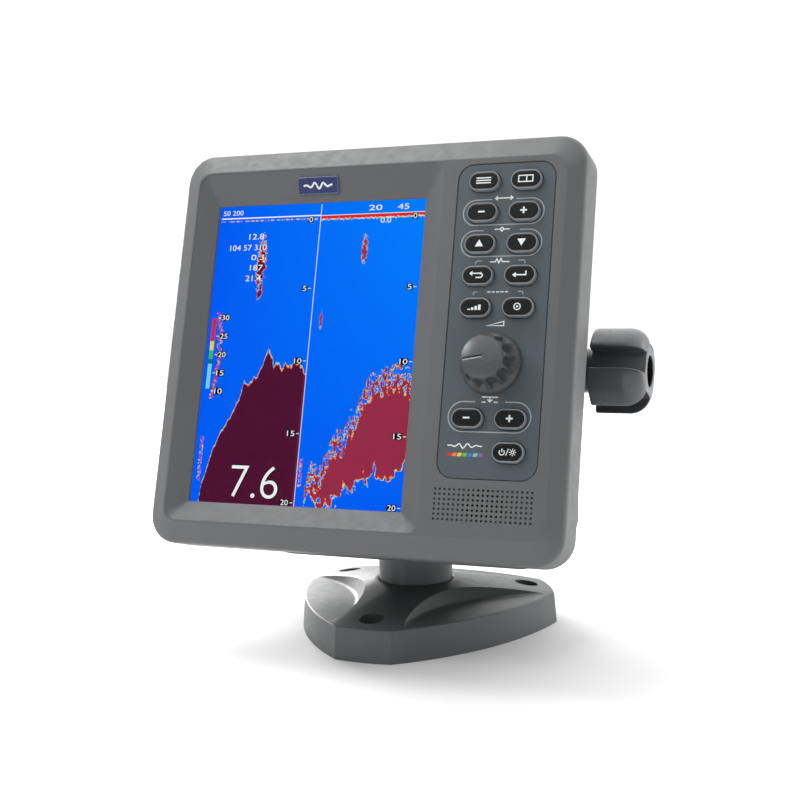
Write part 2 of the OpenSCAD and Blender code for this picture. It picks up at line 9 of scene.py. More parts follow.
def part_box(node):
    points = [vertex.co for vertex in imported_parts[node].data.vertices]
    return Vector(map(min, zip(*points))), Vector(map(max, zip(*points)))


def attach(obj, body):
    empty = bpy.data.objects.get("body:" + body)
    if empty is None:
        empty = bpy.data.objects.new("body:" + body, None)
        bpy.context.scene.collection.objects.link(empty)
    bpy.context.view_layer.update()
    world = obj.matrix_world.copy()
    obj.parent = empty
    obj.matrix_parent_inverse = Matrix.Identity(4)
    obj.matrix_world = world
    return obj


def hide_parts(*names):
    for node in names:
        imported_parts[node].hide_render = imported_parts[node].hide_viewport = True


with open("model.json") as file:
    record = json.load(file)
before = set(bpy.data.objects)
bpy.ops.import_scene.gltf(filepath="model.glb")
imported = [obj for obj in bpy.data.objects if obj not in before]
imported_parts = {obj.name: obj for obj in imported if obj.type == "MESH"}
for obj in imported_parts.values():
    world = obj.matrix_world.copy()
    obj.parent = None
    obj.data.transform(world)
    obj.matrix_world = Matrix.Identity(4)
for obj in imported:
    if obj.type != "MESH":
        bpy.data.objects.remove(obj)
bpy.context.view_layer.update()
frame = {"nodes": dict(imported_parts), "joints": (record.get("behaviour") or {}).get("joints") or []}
NODES = frame["nodes"]
JOINTS = {joint["name"]: joint for joint in frame["joints"]}

# ---- Face coordinates: millimetres, x right, y up the face, z out of it from the bezel's rim ----

MM = 0.001
PIVOT_BACK = 65.0
PIVOT_RISE = 2.0
OUT = Vector(JOINTS["gain_turn"]["axis"]).normalized()
UP = OUT.cross(Vector((1, 0, 0)))
PIVOT = Vector(JOINTS["head_tilt"]["pos_m"])
RIM = PIVOT + OUT * PIVOT_BACK * MM - UP * PIVOT_RISE * MM
FACE = Matrix.Translation(RIM) @ Matrix((
    (1, 0, 0, 0), (0, UP.y, OUT.y, 0), (0, UP.z, OUT.z, 0), (0, 0, 0, 1))) @ Matrix.Scale(MM, 4)


def tilt_axis(side):
    """Coordinates of one end of the tilt axis, with z outwards along it."""
    turn = Matrix.Rotation(side * math.pi / 2, 4, "Y")
    return FACE @ Matrix.Translation((0, PIVOT_RISE, -PIVOT_BACK)) @ turn


def face_box(node):
    """Lowest and highest corner of a CAD node in face coordinates."""
    back = FACE.inverted()
    points = [back @ v.co for v in NODES[node].data.vertices]
    low = Vector([min(p[i] for p in points) for i in range(3)])
    high = Vector([max(p[i] for p in points) for i in range(3)])
    return low, high


def face_middle(node):
    low, high = face_box(node)
    return (low + high) / 2


# ---- Outlines ----

def around(angle, distance, u=0.0, v=0.0):
    """The point at an angle in degrees and a distance from (u, v)."""
    return u + distance * math.cos(math.radians(angle)), v + distance * math.sin(math.radians(angle))


def arc(u, v, r, start, end, steps=12):
    return [around(start + (end - start) * k / steps, r, u, v) for k in range(steps + 1)]


def circle(u, v, r, steps=48):
    return arc(u, v, r, 0, 360, steps)[:-1]


def outline(left, right, bottom, top, radius, steps=8):
    """A rounded rectangle, anticlockwise, with steps + 1 points at each corner."""
    corners = [(right - radius, bottom + radius, -90), (right - radius, top - radius, 0),
               (left + radius, top - radius, 90), (left + radius, bottom + radius, 180)]
    return [point for x, y, start in corners for point in arc(x, y, radius, start, start + 90, steps)]


def grown(box, by):
    left, right, bottom, top, radius = box
    return (left - by, right + by, bottom - by, top + by, max(radius + by, 0.05))


def stadium(u, v, w, h):
    return outline(u - w / 2, u + w / 2, v - h / 2, v + h / 2, h / 2 - 0.01, 10)


def blended(a, b, s):
    return tuple(p + (q - p) * s for p, q in zip(a, b))


def corner_curve(start, corner, end, steps=5):
    """Points of a rounded corner."""
    made = []
    for k in range(steps + 1):
        t = k / steps
        made.append(tuple(a * (1 - t) ** 2 + c * 2 * t * (1 - t) + b * t ** 2
                          for a, c, b in zip(start, corner, end)))
    return made


def filleted(points, radii):
    """A closed outline with each corner replaced by a small curve."""
    made = []
    for i, (p, r) in enumerate(zip(points, radii)):
        here = Vector(p)
        before = Vector(points[i - 1]) - here
        after = Vector(points[(i + 1) % len(points)]) - here
        if r <= 0:
            made.append((here.x, here.y))
            continue
        start = here + before.normalized() * min(r, before.length * 0.45)
        end = here + after.normalized() * min(r, after.length * 0.45)
        made += corner_curve(start, here, end, 3)
    return made


# ---- Mesh building ----

def ring(bm, points, z):
    return [bm.verts.new((x, y, z)) for x, y in points]


def box_rings(bm, box, profile):
    """Rings of a rounded rectangle, as (how far it is grown, height)."""
    return [ring(bm, outline(*grown(box, by)), z) for by, z in profile]


def turned_rings(bm, profile, steps=48, u=0.0, v=0.0):
    """Rings round an upright axis, as (radius, height)."""
    return [ring(bm, circle(u, v, r, steps), z) for r, z in profile]


def bridge(bm, a, b, slot=0):
    for i in range(len(a)):
        j = (i + 1) % len(a)
        bm.faces.new((a[i], a[j], b[j], b[i])).material_index = slot


def loft(bm, rings, slot=0):
    for a, b in zip(rings, rings[1:]):
        bridge(bm, a, b, slot)


def fill(bm, loops, slot=0):
    """Fills a flat outline, leaving the loops inside it open."""
    edges = []
    for loop in loops:
        for i, vert in enumerate(loop):
            other = loop[(i + 1) % len(loop)]
            edges.append(bm.edges.get((vert, other)) or bm.edges.new((vert, other)))
    made = bmesh.ops.triangle_fill(bm, edges=edges, use_beauty=True, normal=(0, 0, 1))
    for item in made["geom"]:
        if isinstance(item, bmesh.types.BMFace):
            item.material_index = slot


def cap(bm, loop, slot=0):
    bm.faces.new(loop).material_index = slot


def solid(bm, rings):
    cap(bm, rings[0])
    loft(bm, rings)
    cap(bm, rings[-1])


def patch(bm, points, z, slot):
    """A flat printed shape."""
    cap(bm, ring(bm, points, z), slot)


def stroke(bm, points, width, z, slot):
    """A flat printed line, closed if its last point is its first."""
    spots = [Vector(p) for p in points]
    closed = spots[0] == spots[-1]
    if closed:
        spots.pop()
    sides = []
    for i, p in enumerate(spots):
        first = closed or i > 0
        last = closed or i < len(spots) - 1
        before = (p - spots[i - 1]).normalized() if first else None
        after = (spots[(i + 1) % len(spots)] - p).normalized() if last else None
        before = before or after
        after = after or before
        along = (before + after).normalized()
        across = Vector((-along.y, along.x))
        reach = width / 2 / max(along.dot(before), 0.4)
        sides.append([bm.verts.new((*(p + across * reach * s), z)) for s in (1, -1)])
    count = len(sides) if closed else len(sides) - 1
    for i in range(count):
        a, b = sides[i], sides[(i + 1) % len(sides)]
        bm.faces.new((a[0], b[0], b[1], a[1])).material_index = slot


def show(made):
    bpy.context.scene.collection.objects.link(made)


def evaluated(source):
    """A new mesh of an object as its modifiers or its curve make it."""
    bpy.context.view_layer.update()
    return bpy.data.meshes.new_from_object(source.evaluated_get(bpy.context.evaluated_depsgraph_get()))


def round_edges(made, width):
    edge = made.modifiers.new("edge", "BEVEL")
    edge.width = width * MM
    edge.segments = 3
    edge.limit_method = "ANGLE"
    edge.angle_limit = math.radians(28)
    edge.use_clamp_overlap = True
    edge.miter_outer = "MITER_ARC"


def carve(bm, other, operation):
    """Exact union or difference of two closed meshes."""
    parts = []
    for source in (bm, other):
        bmesh.ops.recalc_face_normals(source, faces=source.faces)
        mesh = bpy.data.meshes.new("carve")
        source.to_mesh(mesh)
        source.free()
        parts.append(bpy.data.objects.new("carve", mesh))
        show(parts[-1])
    cut = parts[0].modifiers.new("cut", "BOOLEAN")
    cut.object = parts[1]
    cut.operation = operation
    cut.solver = "EXACT"
    made = bmesh.new()
    made.from_mesh(evaluated(parts[0]))
    for part in parts:
        bpy.data.objects.remove(part)
    bmesh.ops.dissolve_degenerate(made, edges=made.edges, dist=0.002)
    return made


def piece(name, bm, place, body, looks, stands_for, closed=True, sharp=38, rounding=0.0):
    """Turns a mesh drawn in millimetres into a piece that rides on a body."""
    if closed:
        bmesh.ops.recalc_face_normals(bm, faces=bm.faces)
        highest = max(bm.faces, key=lambda f: f.calc_center_median().z)
        if highest.normal.z < 0:
            bmesh.ops.reverse_faces(bm, faces=bm.faces)
    bm.transform(place)
    mesh = bpy.data.meshes.new(name)
    bm.to_mesh(mesh)
    bm.free()
    mesh.shade_smooth()
    mesh.set_sharp_from_angle(angle=math.radians(sharp))
    for look in looks:
        mesh.materials.append(look)
    made = bpy.data.objects.new(name, mesh)
    show(made)
    if rounding:
        round_edges(made, rounding)
    weighted = made.modifiers.new("normals", "WEIGHTED_NORMAL")
    weighted.keep_sharp = True
    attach(made, body)
    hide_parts(stands_for)


def soften(node, width, look):
    """Gives a CAD node rounded edges and its material, by modifiers only."""
    made = NODES[node]
    made.data.shade_smooth()
    weld = made.modifiers.new("weld", "WELD")
    weld.merge_threshold = 0.000002
    flat = made.modifiers.new("flat", "DECIMATE")
    flat.decimate_type = "DISSOLVE"
    flat.angle_limit = math.radians(0.6)
    round_edges(made, width)
    weighted = made.modifiers.new("normals", "WEIGHTED_NORMAL")
    weighted.keep_sharp = True
    weighted.weight = 100
    made.data.materials.clear()
    made.data.materials.append(look)


# ---- Materials ----

def srgb(r, g, b):
    """A colour given as 0 to 255 on the screen."""
    return tuple(((c / 255 + 0.055) / 1.055) ** 2.4 if c > 10 else c / 255 / 12.92
                 for c in (r, g, b)) + (1.0,)


class Graph:
    """The nodes of one material."""

    def __init__(self, name):
        self.material = bpy.data.materials.new(name)
        self.material.use_nodes = True
        self.nodes = self.material.node_tree.nodes
        self.links = self.material.node_tree.links
        self.shader = self.nodes["Principled BSDF"]
        self.where = self.nodes.new("ShaderNodeTexCoord").outputs["Object"]

    def put(self, value, socket):
        if isinstance(value, bpy.types.NodeSocket):
            self.links.new(value, socket)
        else:
            socket.default_value = value

    def set(self, **values):
        for name, value in values.items():
            self.put(value, self.shader.inputs[name.replace("_", " ")])

    def texture(self, kind, where=None, **values):
        made = self.nodes.new("ShaderNodeTex" + kind)
        for name, value in values.items():
            made.inputs[name.replace("_", " ")].default_value = value
        self.links.new(where or self.where, made.inputs["Vector"])
        return made

    def noise(self, scale, detail=3.0, where=None):
        return self.texture("Noise", where, Scale=scale, Detail=detail).outputs[0]

    def stretched(self, scale):
        made = self.nodes.new("ShaderNodeMapping")
        made.inputs["Scale"].default_value = scale
        self.links.new(self.where, made.inputs["Vector"])
        return made.outputs[0]

    def math(self, kind, a, b=0.0, clamp=False):
        made = self.nodes.new("ShaderNodeMath")
        made.operation = kind
        made.use_clamp = clamp
        self.put(a, made.inputs[0])
        self.put(b, made.inputs[1])
        return made.outputs[0]

    def range(self, value, low, high, to_low=0.0, to_high=1.0):
        made = self.nodes.new("ShaderNodeMapRange")
        for socket, number in zip(made.inputs[1:5], (low, high, to_low, to_high)):
            socket.default_value = number
        self.put(value, made.inputs[0])
        return made.outputs[0]

    def mix(self, factor, a, b):
        made = self.nodes.new("ShaderNodeMix")
        made.data_type = "RGBA"
        self.put(factor, made.inputs[0])
        self.put(a, made.inputs[6])
        self.put(b, made.inputs[7])
        return made.outputs[2]

    def along(self, direction):
        """Distance of the point along a direction, in metres."""
        made = self.nodes.new("ShaderNodeVectorMath")
        made.operation = "DOT_PRODUCT"
        self.links.new(self.where, made.inputs[0])
        made.inputs[1].default_value = direction
        return made.outputs["Value"]

    def edges(self):
        geometry = self.nodes.new("ShaderNodeNewGeometry")
        return self.range(geometry.outputs["Pointiness"], 0.52, 0.62)

    def bump(self, height, strength, depth):
        made = self.nodes.new("ShaderNodeBump")
        made.inputs["Strength"].default_value = strength
        made.inputs["Distance"].default_value = depth
        self.put(height, made.inputs["Height"])
        self.links.new(made.outputs[0], self.shader.inputs["Normal"])


def times(colour, by):
    return tuple(min(c * by, 1.0) for c in colour[:3]) + (1.0,)


def moulded(name, colour, rough=0.5, grain=2200.0, strength=0.35, wear=0.35, specular=0.5, coat=0.0):
    """Moulded or painted surface: fine grain, slow colour change, paler edges."""
    g = Graph(name)
    slow = g.noise(16.0, 4.0)
    fine = g.noise(grain, 2.0)
    medium = g.noise(grain / 9, 3.0)
    body = g.mix(slow, times(colour, 0.94), times(colour, 1.06))
    body = g.mix(g.range(fine, 0.35, 0.75, 0.0, 0.16), body, times(colour, 1.5))
    worn = g.math("MULTIPLY", g.edges(), g.range(medium, 0.3, 0.7, wear * 0.6, wear))
    body = g.mix(worn, body, times(colour, 1.8))
    g.set(Base_Color=body, Roughness=g.range(medium, 0.25, 0.75, rough - 0.07, rough + 0.07))
    g.set(Specular_IOR_Level=specular, Coat_Weight=coat, Coat_Roughness=0.25)
    g.bump(g.math("ADD", fine, g.math("MULTIPLY", medium, 0.5)), strength, 0.00004)
    return g.material


def metal(name, colour, rough):
    """Plated or turned metal with fine tool marks and dull patches."""
    g = Graph(name)
    lines = g.noise(1.0, 2.0, g.stretched((60.0, 60.0, 1400.0)))
    patches = g.noise(55.0, 4.0)
    body = g.mix(patches, times(colour, 0.86), times(colour, 1.08))
    body = g.mix(g.math("MULTIPLY", g.edges(), 0.4), body, times(colour, 1.25))
    g.set(Base_Color=body, Roughness=g.range(lines, 0.3, 0.7, rough - 0.08, rough + 0.1))
    g.set(Metallic=1.0)
    g.bump(lines, 0.25, 0.00002)
    return g.material


def board(name):
    """Solder mask over copper tracks."""
    g = Graph(name)
    tracks = g.texture("Brick", Scale=260.0, Mortar_Size=0.06, Color1=srgb(12, 84, 48),
                       Color2=srgb(16, 96, 54), Mortar=srgb(30, 122, 70))
    shade = g.mix(g.noise(60.0), tracks.outputs["Color"], srgb(8, 66, 38))
    g.set(Base_Color=shade, Roughness=g.range(g.noise(300.0), 0.3, 0.7, 0.25, 0.45))
    g.bump(tracks.outputs["Fac"], 0.2, 0.00003)
    return g.material


def wound(name, colour):
    """Turns of tape or wire."""
    g = Graph(name)
    turns = g.texture("Wave", Scale=260.0, Distortion=0.4)
    turns.wave_type = "BANDS"
    turns.bands_direction = "Z"
    shade = g.mix(turns.outputs["Fac"], times(colour, 0.7), times(colour, 1.15))
    g.set(Base_Color=shade, Roughness=g.range(g.noise(400.0), 0.3, 0.7, 0.35, 0.55))
    g.bump(turns.outputs["Fac"], 0.3, 0.0001)
    return g.material


def window(name):
    """Clear cover glass with a faint smear in its gloss."""
    g = Graph(name)
    smear = g.noise(38.0, 4.0)
    g.set(Base_Color=g.mix(smear, (0.97, 0.985, 1.0, 1.0), (1.0, 1.0, 1.0, 1.0)))
    g.set(Roughness=g.range(smear, 0.35, 0.7, 0.02, 0.07))
    g.set(Transmission_Weight=1.0, IOR=1.04)
    return g.material


def glow(name, left, right, low=None, light=1.0, span=(-0.08, 0.026)):
    """Lit pixels: the colour changes across and down the picture, over a fine pixel pattern."""
    g = Graph(name)
    across = g.range(g.along((1.0, 0.0, 0.0)), *span)
    colour = g.mix(across, left, right)
    if low:
        down = g.range(g.along(tuple(UP)), SCREEN_FOOT, SCREEN_HEAD, 1.0, 0.0)
        colour = g.mix(down, colour, low)
    cells = g.range(g.noise(3600.0, 1.0), 0.3, 0.7, -0.06, 0.06)
    rows = g.math("SINE", g.math("MULTIPLY", g.along(tuple(UP)), math.tau / PIXEL_ROW))
    grid = g.math("ADD", cells, g.math("MULTIPLY", rows, 0.025))
    colour = g.mix(g.math("ADD", grid, 0.09, True), colour, (0.0, 0.0, 0.0, 1.0))
    g.set(Base_Color=(0.002, 0.002, 0.002, 1.0), Roughness=0.4, Specular_IOR_Level=0.0)
    g.set(Emission_Color=colour, Emission_Strength=light)
    return g.material


def print_ink(name, colour):
    """Screen-printed ink, slightly uneven."""
    g = Graph(name)
    spread = g.noise(900.0, 3.0)
    g.set(Base_Color=g.mix(spread, times(colour, 0.86), times(colour, 1.06)))
    g.set(Roughness=g.range(g.noise(240.0), 0.3, 0.7, 0.39, 0.53))
    g.bump(spread, 0.12, 0.00001)
    return g.material


glass_low, glass_high = face_box("cover_glass")
SCREEN = (glass_low.x + 4, glass_high.x - 4, glass_low.y + 4, glass_high.y - 4, 0.3)
PIXEL_ROW = 0.00045
SCREEN_FOOT = (FACE @ Vector((0, SCREEN[2], 0))).dot(UP)
SCREEN_HEAD = (FACE @ Vector((0, SCREEN[3], 0))).dot(UP)

HOUSING = moulded("housing_plastic", srgb(93, 94, 95), 0.46)
CASE = moulded("case_plastic", srgb(90, 91, 92), 0.5)
BASE = moulded("base_plastic", srgb(84, 86, 87), 0.42)
YOKE = moulded("yoke_paint", srgb(84, 86, 88), 0.42, grain=1500.0)
KNOB = moulded("knob_plastic", srgb(68, 70, 73), 0.32, grain=2600.0, strength=0.1, coat=0.3)
GAIN = moulded("gain_plastic", srgb(62, 65, 68), 0.45, strength=0.25)
GAIN_CAP = moulded("gain_cap", srgb(80, 83, 86), 0.24, strength=0.1, coat=0.3)
FILM = moulded("keypad_film", srgb(72, 82, 88), 0.45, grain=3200.0, strength=0.2, wear=0.2)
KEY_BODY = moulded("key_body", srgb(122, 127, 130), 0.5, strength=0.2)
KEY_TOP = moulded("key_top", srgb(14, 15, 17), 0.35, strength=0.15, wear=0.2, specular=0.3)
WHITE_INK = print_ink("white_ink", srgb(238, 240, 240))
PALE_INK = print_ink("pale_ink", srgb(168, 175, 180))
RUBBER = moulded("rubber", srgb(30, 30, 31), 0.75, grain=1400.0, strength=0.5)
SILICONE = moulded("silicone", srgb(186, 186, 180), 0.6, wear=0.1)
NYLON = moulded("nylon", srgb(222, 216, 196), 0.45, strength=0.15, wear=0.1)
CHIPS = moulded("chip_case", srgb(38, 38, 40), 0.5, grain=3000.0)
SOCKET = moulded("socket_plastic", srgb(40, 41, 43), 0.35)
RIBBON = wound("ribbon", srgb(176, 176, 170))
DIFFUSER = moulded("diffuser", srgb(232, 233, 232), 0.6, wear=0.05)
CAN = moulded("can_sleeve", srgb(34, 40, 84), 0.35, strength=0.15)
SINK = metal("heat_sink", srgb(52, 52, 55), 0.45)
STEEL = metal("plated_steel", srgb(196, 198, 202), 0.28)
BRASS = metal("turned_brass", srgb(206, 168, 96), 0.3)
BOARD = board("circuit_board")
WINDING = wound("winding_tape", srgb(196, 150, 54))
WINDOW = window("window_glass")
BADGE = moulded("badge_blue", srgb(30, 44, 100), 0.3, strength=0.1, wear=0.1, coat=0.3)
BADGE_RIM = moulded("badge_rim", srgb(92, 104, 140), 0.3, strength=0.1, wear=0.2)
DARK_METAL = metal("blackened_steel", srgb(74, 76, 80), 0.38)


# ---- Housing ----

FACE_LOW, FACE_HIGH = face_box("front_bezel")
RISE = FACE_HIGH.z
PAD_LOW, PAD_HIGH = face_box("keypad_sheet")
PAD = (PAD_LOW.x, PAD_HIGH.x, PAD_LOW.y, PAD_HIGH.y, 7.0)
RIM_BOX = (FACE_LOW.x, FACE_HIGH.x, FACE_LOW.y, FACE_HIGH.y, 13.0)
RIDGE = (FACE_LOW.x + 9.5, FACE_HIGH.x - 7.3, FACE_LOW.y + 10, FACE_HIGH.y - 10.7, 8.0)
RECESS = (RIDGE[0] + 0.7, PAD[0] - 7.5, RIDGE[2] + 0.7, RIDGE[3] - 0.7, 4.0)
KEYS = [name for name in NODES if name.startswith("key_") and name != "key_board"]
GAIN_SPOT = face_middle("gain_shaft")
SPEAKER = face_middle("speaker")
GRILLE_PITCH = 2.15
GRILLE_SIZE = (21, 7)
GRILLE_HOLE = 0.55
KEY_HOLE = (14.8, 9.4)
SHAFT_HOLE = 3.8


def grille(bm):
    """Square cells with a hole each. Returns the patch's outer loop."""
    columns, rows = GRILLE_SIZE
    left = SPEAKER.x - columns * GRILLE_PITCH / 2
    bottom = SPEAKER.y - rows * GRILLE_PITCH / 2
    grid = [[bm.verts.new((left + i * GRILLE_PITCH, bottom + j * GRILLE_PITCH, RISE))
             for j in range(rows + 1)] for i in range(columns + 1)]
    for i in range(columns):
        for j in range(rows):
            u = left + (i + 0.5) * GRILLE_PITCH
            v = bottom + (j + 0.5) * GRILLE_PITCH
            open_hole = math.hypot(u - SPEAKER.x, 1.4 * (v - SPEAKER.y)) < 10
            turn = arc(u, v, GRILLE_HOLE, -45, 315)[:-1]
            top = ring(bm, turn, RISE)
            foot = ring(bm, turn, RISE - (3.0 if open_hole else 0.8))
            bridge(bm, foot, top)
            if not open_hole:
                cap(bm, foot)
            square = [grid[i + 1][j], grid[i + 1][j + 1], grid[i][j + 1], grid[i][j]]
            for side in range(4):
                quarter = [top[(3 * side + k) % 12] for k in range(4)]
                bm.faces.new([square[side], square[(side + 1) % 4]] + quarter[::-1])
    return ([grid[i][0] for i in range(columns)] + [grid[columns][j] for j in range(rows)]
            + [grid[i][rows] for i in range(columns, 0, -1)] + [grid[0][j] for j in range(rows, 0, -1)])


def housing():
    bm = bmesh.new()
    back = FACE_LOW.z
    rings = box_rings(bm, RIM_BOX, [(-3, -1), (-3, back), (-0.5, back), (-0.12, back + 0.15),
                                    (0, back + 0.55)])
    shoulder = corner_curve((0, -2.0), (0, 0), (0.2, 0.2 * RISE))
    brow = corner_curve((0.93, 0.93 * RISE), (1, RISE), (1.03, RISE), 3)
    rings += [ring(bm, outline(*blended(RIM_BOX, RIDGE, s)), z) for s, z in shoulder + brow]
    loft(bm, rings)
    lip = corner_curve((-0.012, RISE), (0.0, RISE), (0.035, 0.965 * RISE), 3)
    foot = corner_curve((0.97, 0.03 * RISE), (1, 0), (1, -0.35), 3)
    slopes = [ring(bm, outline(*blended(RECESS, SCREEN, s)), z) for s, z in lip + foot]
    slopes += box_rings(bm, SCREEN, [(0, -1), (5, -1)])
    loft(bm, slopes)
    pocket = box_rings(bm, PAD, [(0.75, RISE), (0.5, RISE - 0.08), (0.38, RISE - 0.3),
                                 (0.38, RISE - 0.75)])
    loft(bm, pocket)
    fill(bm, [rings[-1], slopes[0], pocket[0], grille(bm)])
    holes = []
    for name in KEYS:
        spot = face_middle(name)
        holes.append(stadium(spot.x, spot.y, *KEY_HOLE))
    holes.append(circle(GAIN_SPOT.x, GAIN_SPOT.y, SHAFT_HOLE))
    mouths = []
    for hole in holes:
        mouths.append(ring(bm, hole, RISE - 0.75))
        bridge(bm, mouths[-1], ring(bm, hole, RISE - 3))
    fill(bm, [pocket[-1]] + mouths)
    piece("front_housing", bm, FACE, "display_unit", [HOUSING], "front_bezel")


# ---- Keypad film with its printing ----

SHEET = PAD_HIGH.z
PRINT_RISE = 0.03
INK = SHEET + PRINT_RISE
RULE = 0.45
LABEL_MIDDLE = 64.9
BARS = [(208, 40, 44), (232, 130, 40), (232, 212, 60), (96, 186, 76), (58, 120, 214), (110, 206, 180),
        (146, 84, 178)]


def frame_line(bm, box, gap):
    """A rounded frame round a pair of keys, open at the top between two places."""
    left, right, bottom, top = box
    points = outline(left, right, bottom, top, (top - bottom) / 2 - 0.01, 12)
    right_side = [p for p in points if p[0] > (left + right) / 2]
    left_side = [p for p in points if p[0] < (left + right) / 2]
    stroke(bm, [(gap[1], top)] + right_side[::-1] + left_side[::-1] + [(gap[0], top)], RULE, INK, 1)


def looped(points):
    return points + points[:1]


def small_mark(kind):
    """Strokes of a small printed mark about 3 mm high."""
    marks = {
        "sideways": [[(-4, 0), (4, 0)], [(-2.9, 0.9), (-4, 0), (-2.9, -0.9)],
                     [(2.9, 0.9), (4, 0), (2.9, -0.9)]],
        "cross": [[(-3.4, 0), (-0.9, 0)], [(0.9, 0), (3.4, 0)],
                  looped([(0, -0.9), (0.9, 0), (0, 0.9), (-0.9, 0)])],
        "pulse": [[(-4.4, -0.5), (-2, -0.5), (-1.3, 0.9), (-0.4, -1), (0.5, 1), (1.2, -0.5), (4.4, -0.5)]],
        "dots": [[(x - 0.7, 0), (x + 0.7, 0)] for x in (-4, -2, 0, 2, 4)],
        "wedge": [looped([(-3.8, -0.9), (3.8, -0.9), (3.8, 1.0)])],
        "depth": [[(-3.6, 1), (3.6, 1)], [(0, 1), (0, -1)], [(-1.1, 0), (0, -1.1), (1.1, 0)],
                  [(-3.6, -1.2), (-1.8, -1.2)], [(1.8, -1.2), (3.6, -1.2)]],
    }
    return marks[kind]


def keypad_film():
    bm = bmesh.new()
    rims = box_rings(bm, PAD, [(0, SHEET - 0.55), (0, SHEET - 0.15), (-0.15, SHEET)])
    loft(bm, rims)
    mouths = []
    for name in KEYS:
        spot = face_middle(name)
        mouths.append(ring(bm, stadium(spot.x, spot.y, KEY_HOLE[0] + 0.2, KEY_HOLE[1] + 0.2), SHEET))
        lips = [ring(bm, stadium(spot.x, spot.y, *KEY_HOLE), SHEET - depth) for depth in (0.12, 0.55)]
        loft(bm, [mouths[-1]] + lips)
    mouths.append(ring(bm, circle(GAIN_SPOT.x, GAIN_SPOT.y, SHAFT_HOLE), SHEET))
    fill(bm, [rims[-1]] + mouths)
    frames = [((46.5, 83.3, 52.7, 64.3), (59.4, 70.4)), ((46.6, 83.2, 38.4, 50.2), (56.5, 72.9)),
              ((46.6, 83.5, -39.1, -26.0), (58.4, 71.8))]
    for box, gap in frames:
        frame_line(bm, box, gap)
    for low, top, left, right in ((34.8, 36.4, 56.7, 73.1), (21.1, 22.5, 55.7, 74.1)):
        stroke(bm, [(53.9, low), (53.9, top - 0.5), (54.4, top), (left, top)], RULE, INK, 1)
        stroke(bm, [(right, top), (75.8, top), (76.3, top - 0.5), (76.3, low)], RULE, INK, 1)
    labels = [("sideways", 64.8), ("cross", 50.6), ("pulse", 36.4), ("dots", 22.4),
              ("wedge", 8.3), ("depth", -24.9)]
    for kind, v in labels:
        for points in small_mark(kind):
            stroke(bm, [(LABEL_MIDDLE + x, v + y) for x, y in points], 0.5, INK, 2)
    for i in range(len(BARS)):
        u = 47.1 + 2.35 * i
        patch(bm, [(u, -49.8), (u + 1.9, -49.8), (u + 2.5, -48.3), (u + 0.6, -48.3)], INK, 3 + i)
    wave = [(47.3 + 0.4 * k, -45.2 + 1.1 * math.sin(k * 0.62) * math.exp(-((k - 19) / 11) ** 2))
            for k in range(40)]
    stroke(bm, wave, 0.5, INK, 2)
    inks = [print_ink(f"bar_ink_{i + 1}", srgb(*colour)) for i, colour in enumerate(BARS)]
    piece("keypad_film", bm, FACE, "display_unit", [FILM, PALE_INK, WHITE_INK] + inks,
          "keypad_sheet", closed=False)


# ---- Keys ----

KEY_BODY_SIZE = (14.2, 8.8)
KEY_WELL_SIZE = (12.95, 7.3)
KEY_TOP_SIZE = (12.6, 6.9)


def key_mark(name):
    """The white mark on a key: (strokes as (points, width), filled shapes)."""
    dash = ([(-1.5, 0), (1.5, 0)], 0.75)
    upright = ([(0, -1.5), (0, 1.5)], 0.75)
    bars = [(x, x + 1.15, 0.55 + 0.6 * i) for i, x in enumerate((-3.1, -1.5, 0.1, 1.7))]
    rays = [([around(a, 1.05, 2.4), around(a, 1.6, 2.4)], 0.35) for a in range(0, 360, 45)]
    marks = {
        "key_menu": ([([(-3.4, y), (3.4, y)], 0.55) for y in (-1.15, 0, 1.15)], []),
        "key_mode": ([(looped([(-3.2, -1.4), (3.2, -1.4), (3.2, 1.4), (-3.2, 1.4)]), 0.5),
                      ([(0.4, -1.4), (0.4, 1.4)], 0.5)], []),
        "key_shift_minus": ([dash], []),
        "key_shift_plus": ([dash, upright], []),
        "key_marker_up": ([], [[(-1.9, -1.5), (1.9, -1.5), (0, 1.7)]]),
        "key_marker_down": ([], [[(-1.9, 1.5), (0, -1.7), (1.9, 1.5)]]),
        "key_escape": ([([(-2.4, 0.7), (1.6, 0.7)] + arc(1.6, -0.25, 0.95, 90, -90, 8)
                         + [(-0.4, -1.2)], 0.55)],
                       [[(-3.5, 0.7), (-2.0, -0.4), (-2.0, 1.8)]]),
        "key_enter": ([([(2.9, 1.4), (2.9, -0.3), (-1.6, -0.3)], 0.6)],
                      [[(-3.2, -0.3), (-1.5, -1.5), (-1.5, 0.9)]]),
        "key_signal_level": ([], [[(a, -1.4), (b, -1.4), (b, -1.4 + h), (a, -1.4 + h)]
                                  for a, b, h in bars]),
        "key_auto": ([(looped(circle(0, 0, 1.4, 28)), 0.45)], [circle(0, 0, 0.5, 16)]),
        "key_range_minus": ([dash], []),
        "key_range_plus": ([dash, upright], []),
        "key_power": ([(arc(-2.3, -0.1, 1.15, 130, 410), 0.4), ([(-2.3, 0), (-2.3, 1.5)], 0.4),
                       ([(-0.5, -1.5), (0.5, 1.5)], 0.35), (looped(circle(2.4, 0, 0.62, 16)), 0.35)]
                      + rays, []),
    }
    return marks[name]


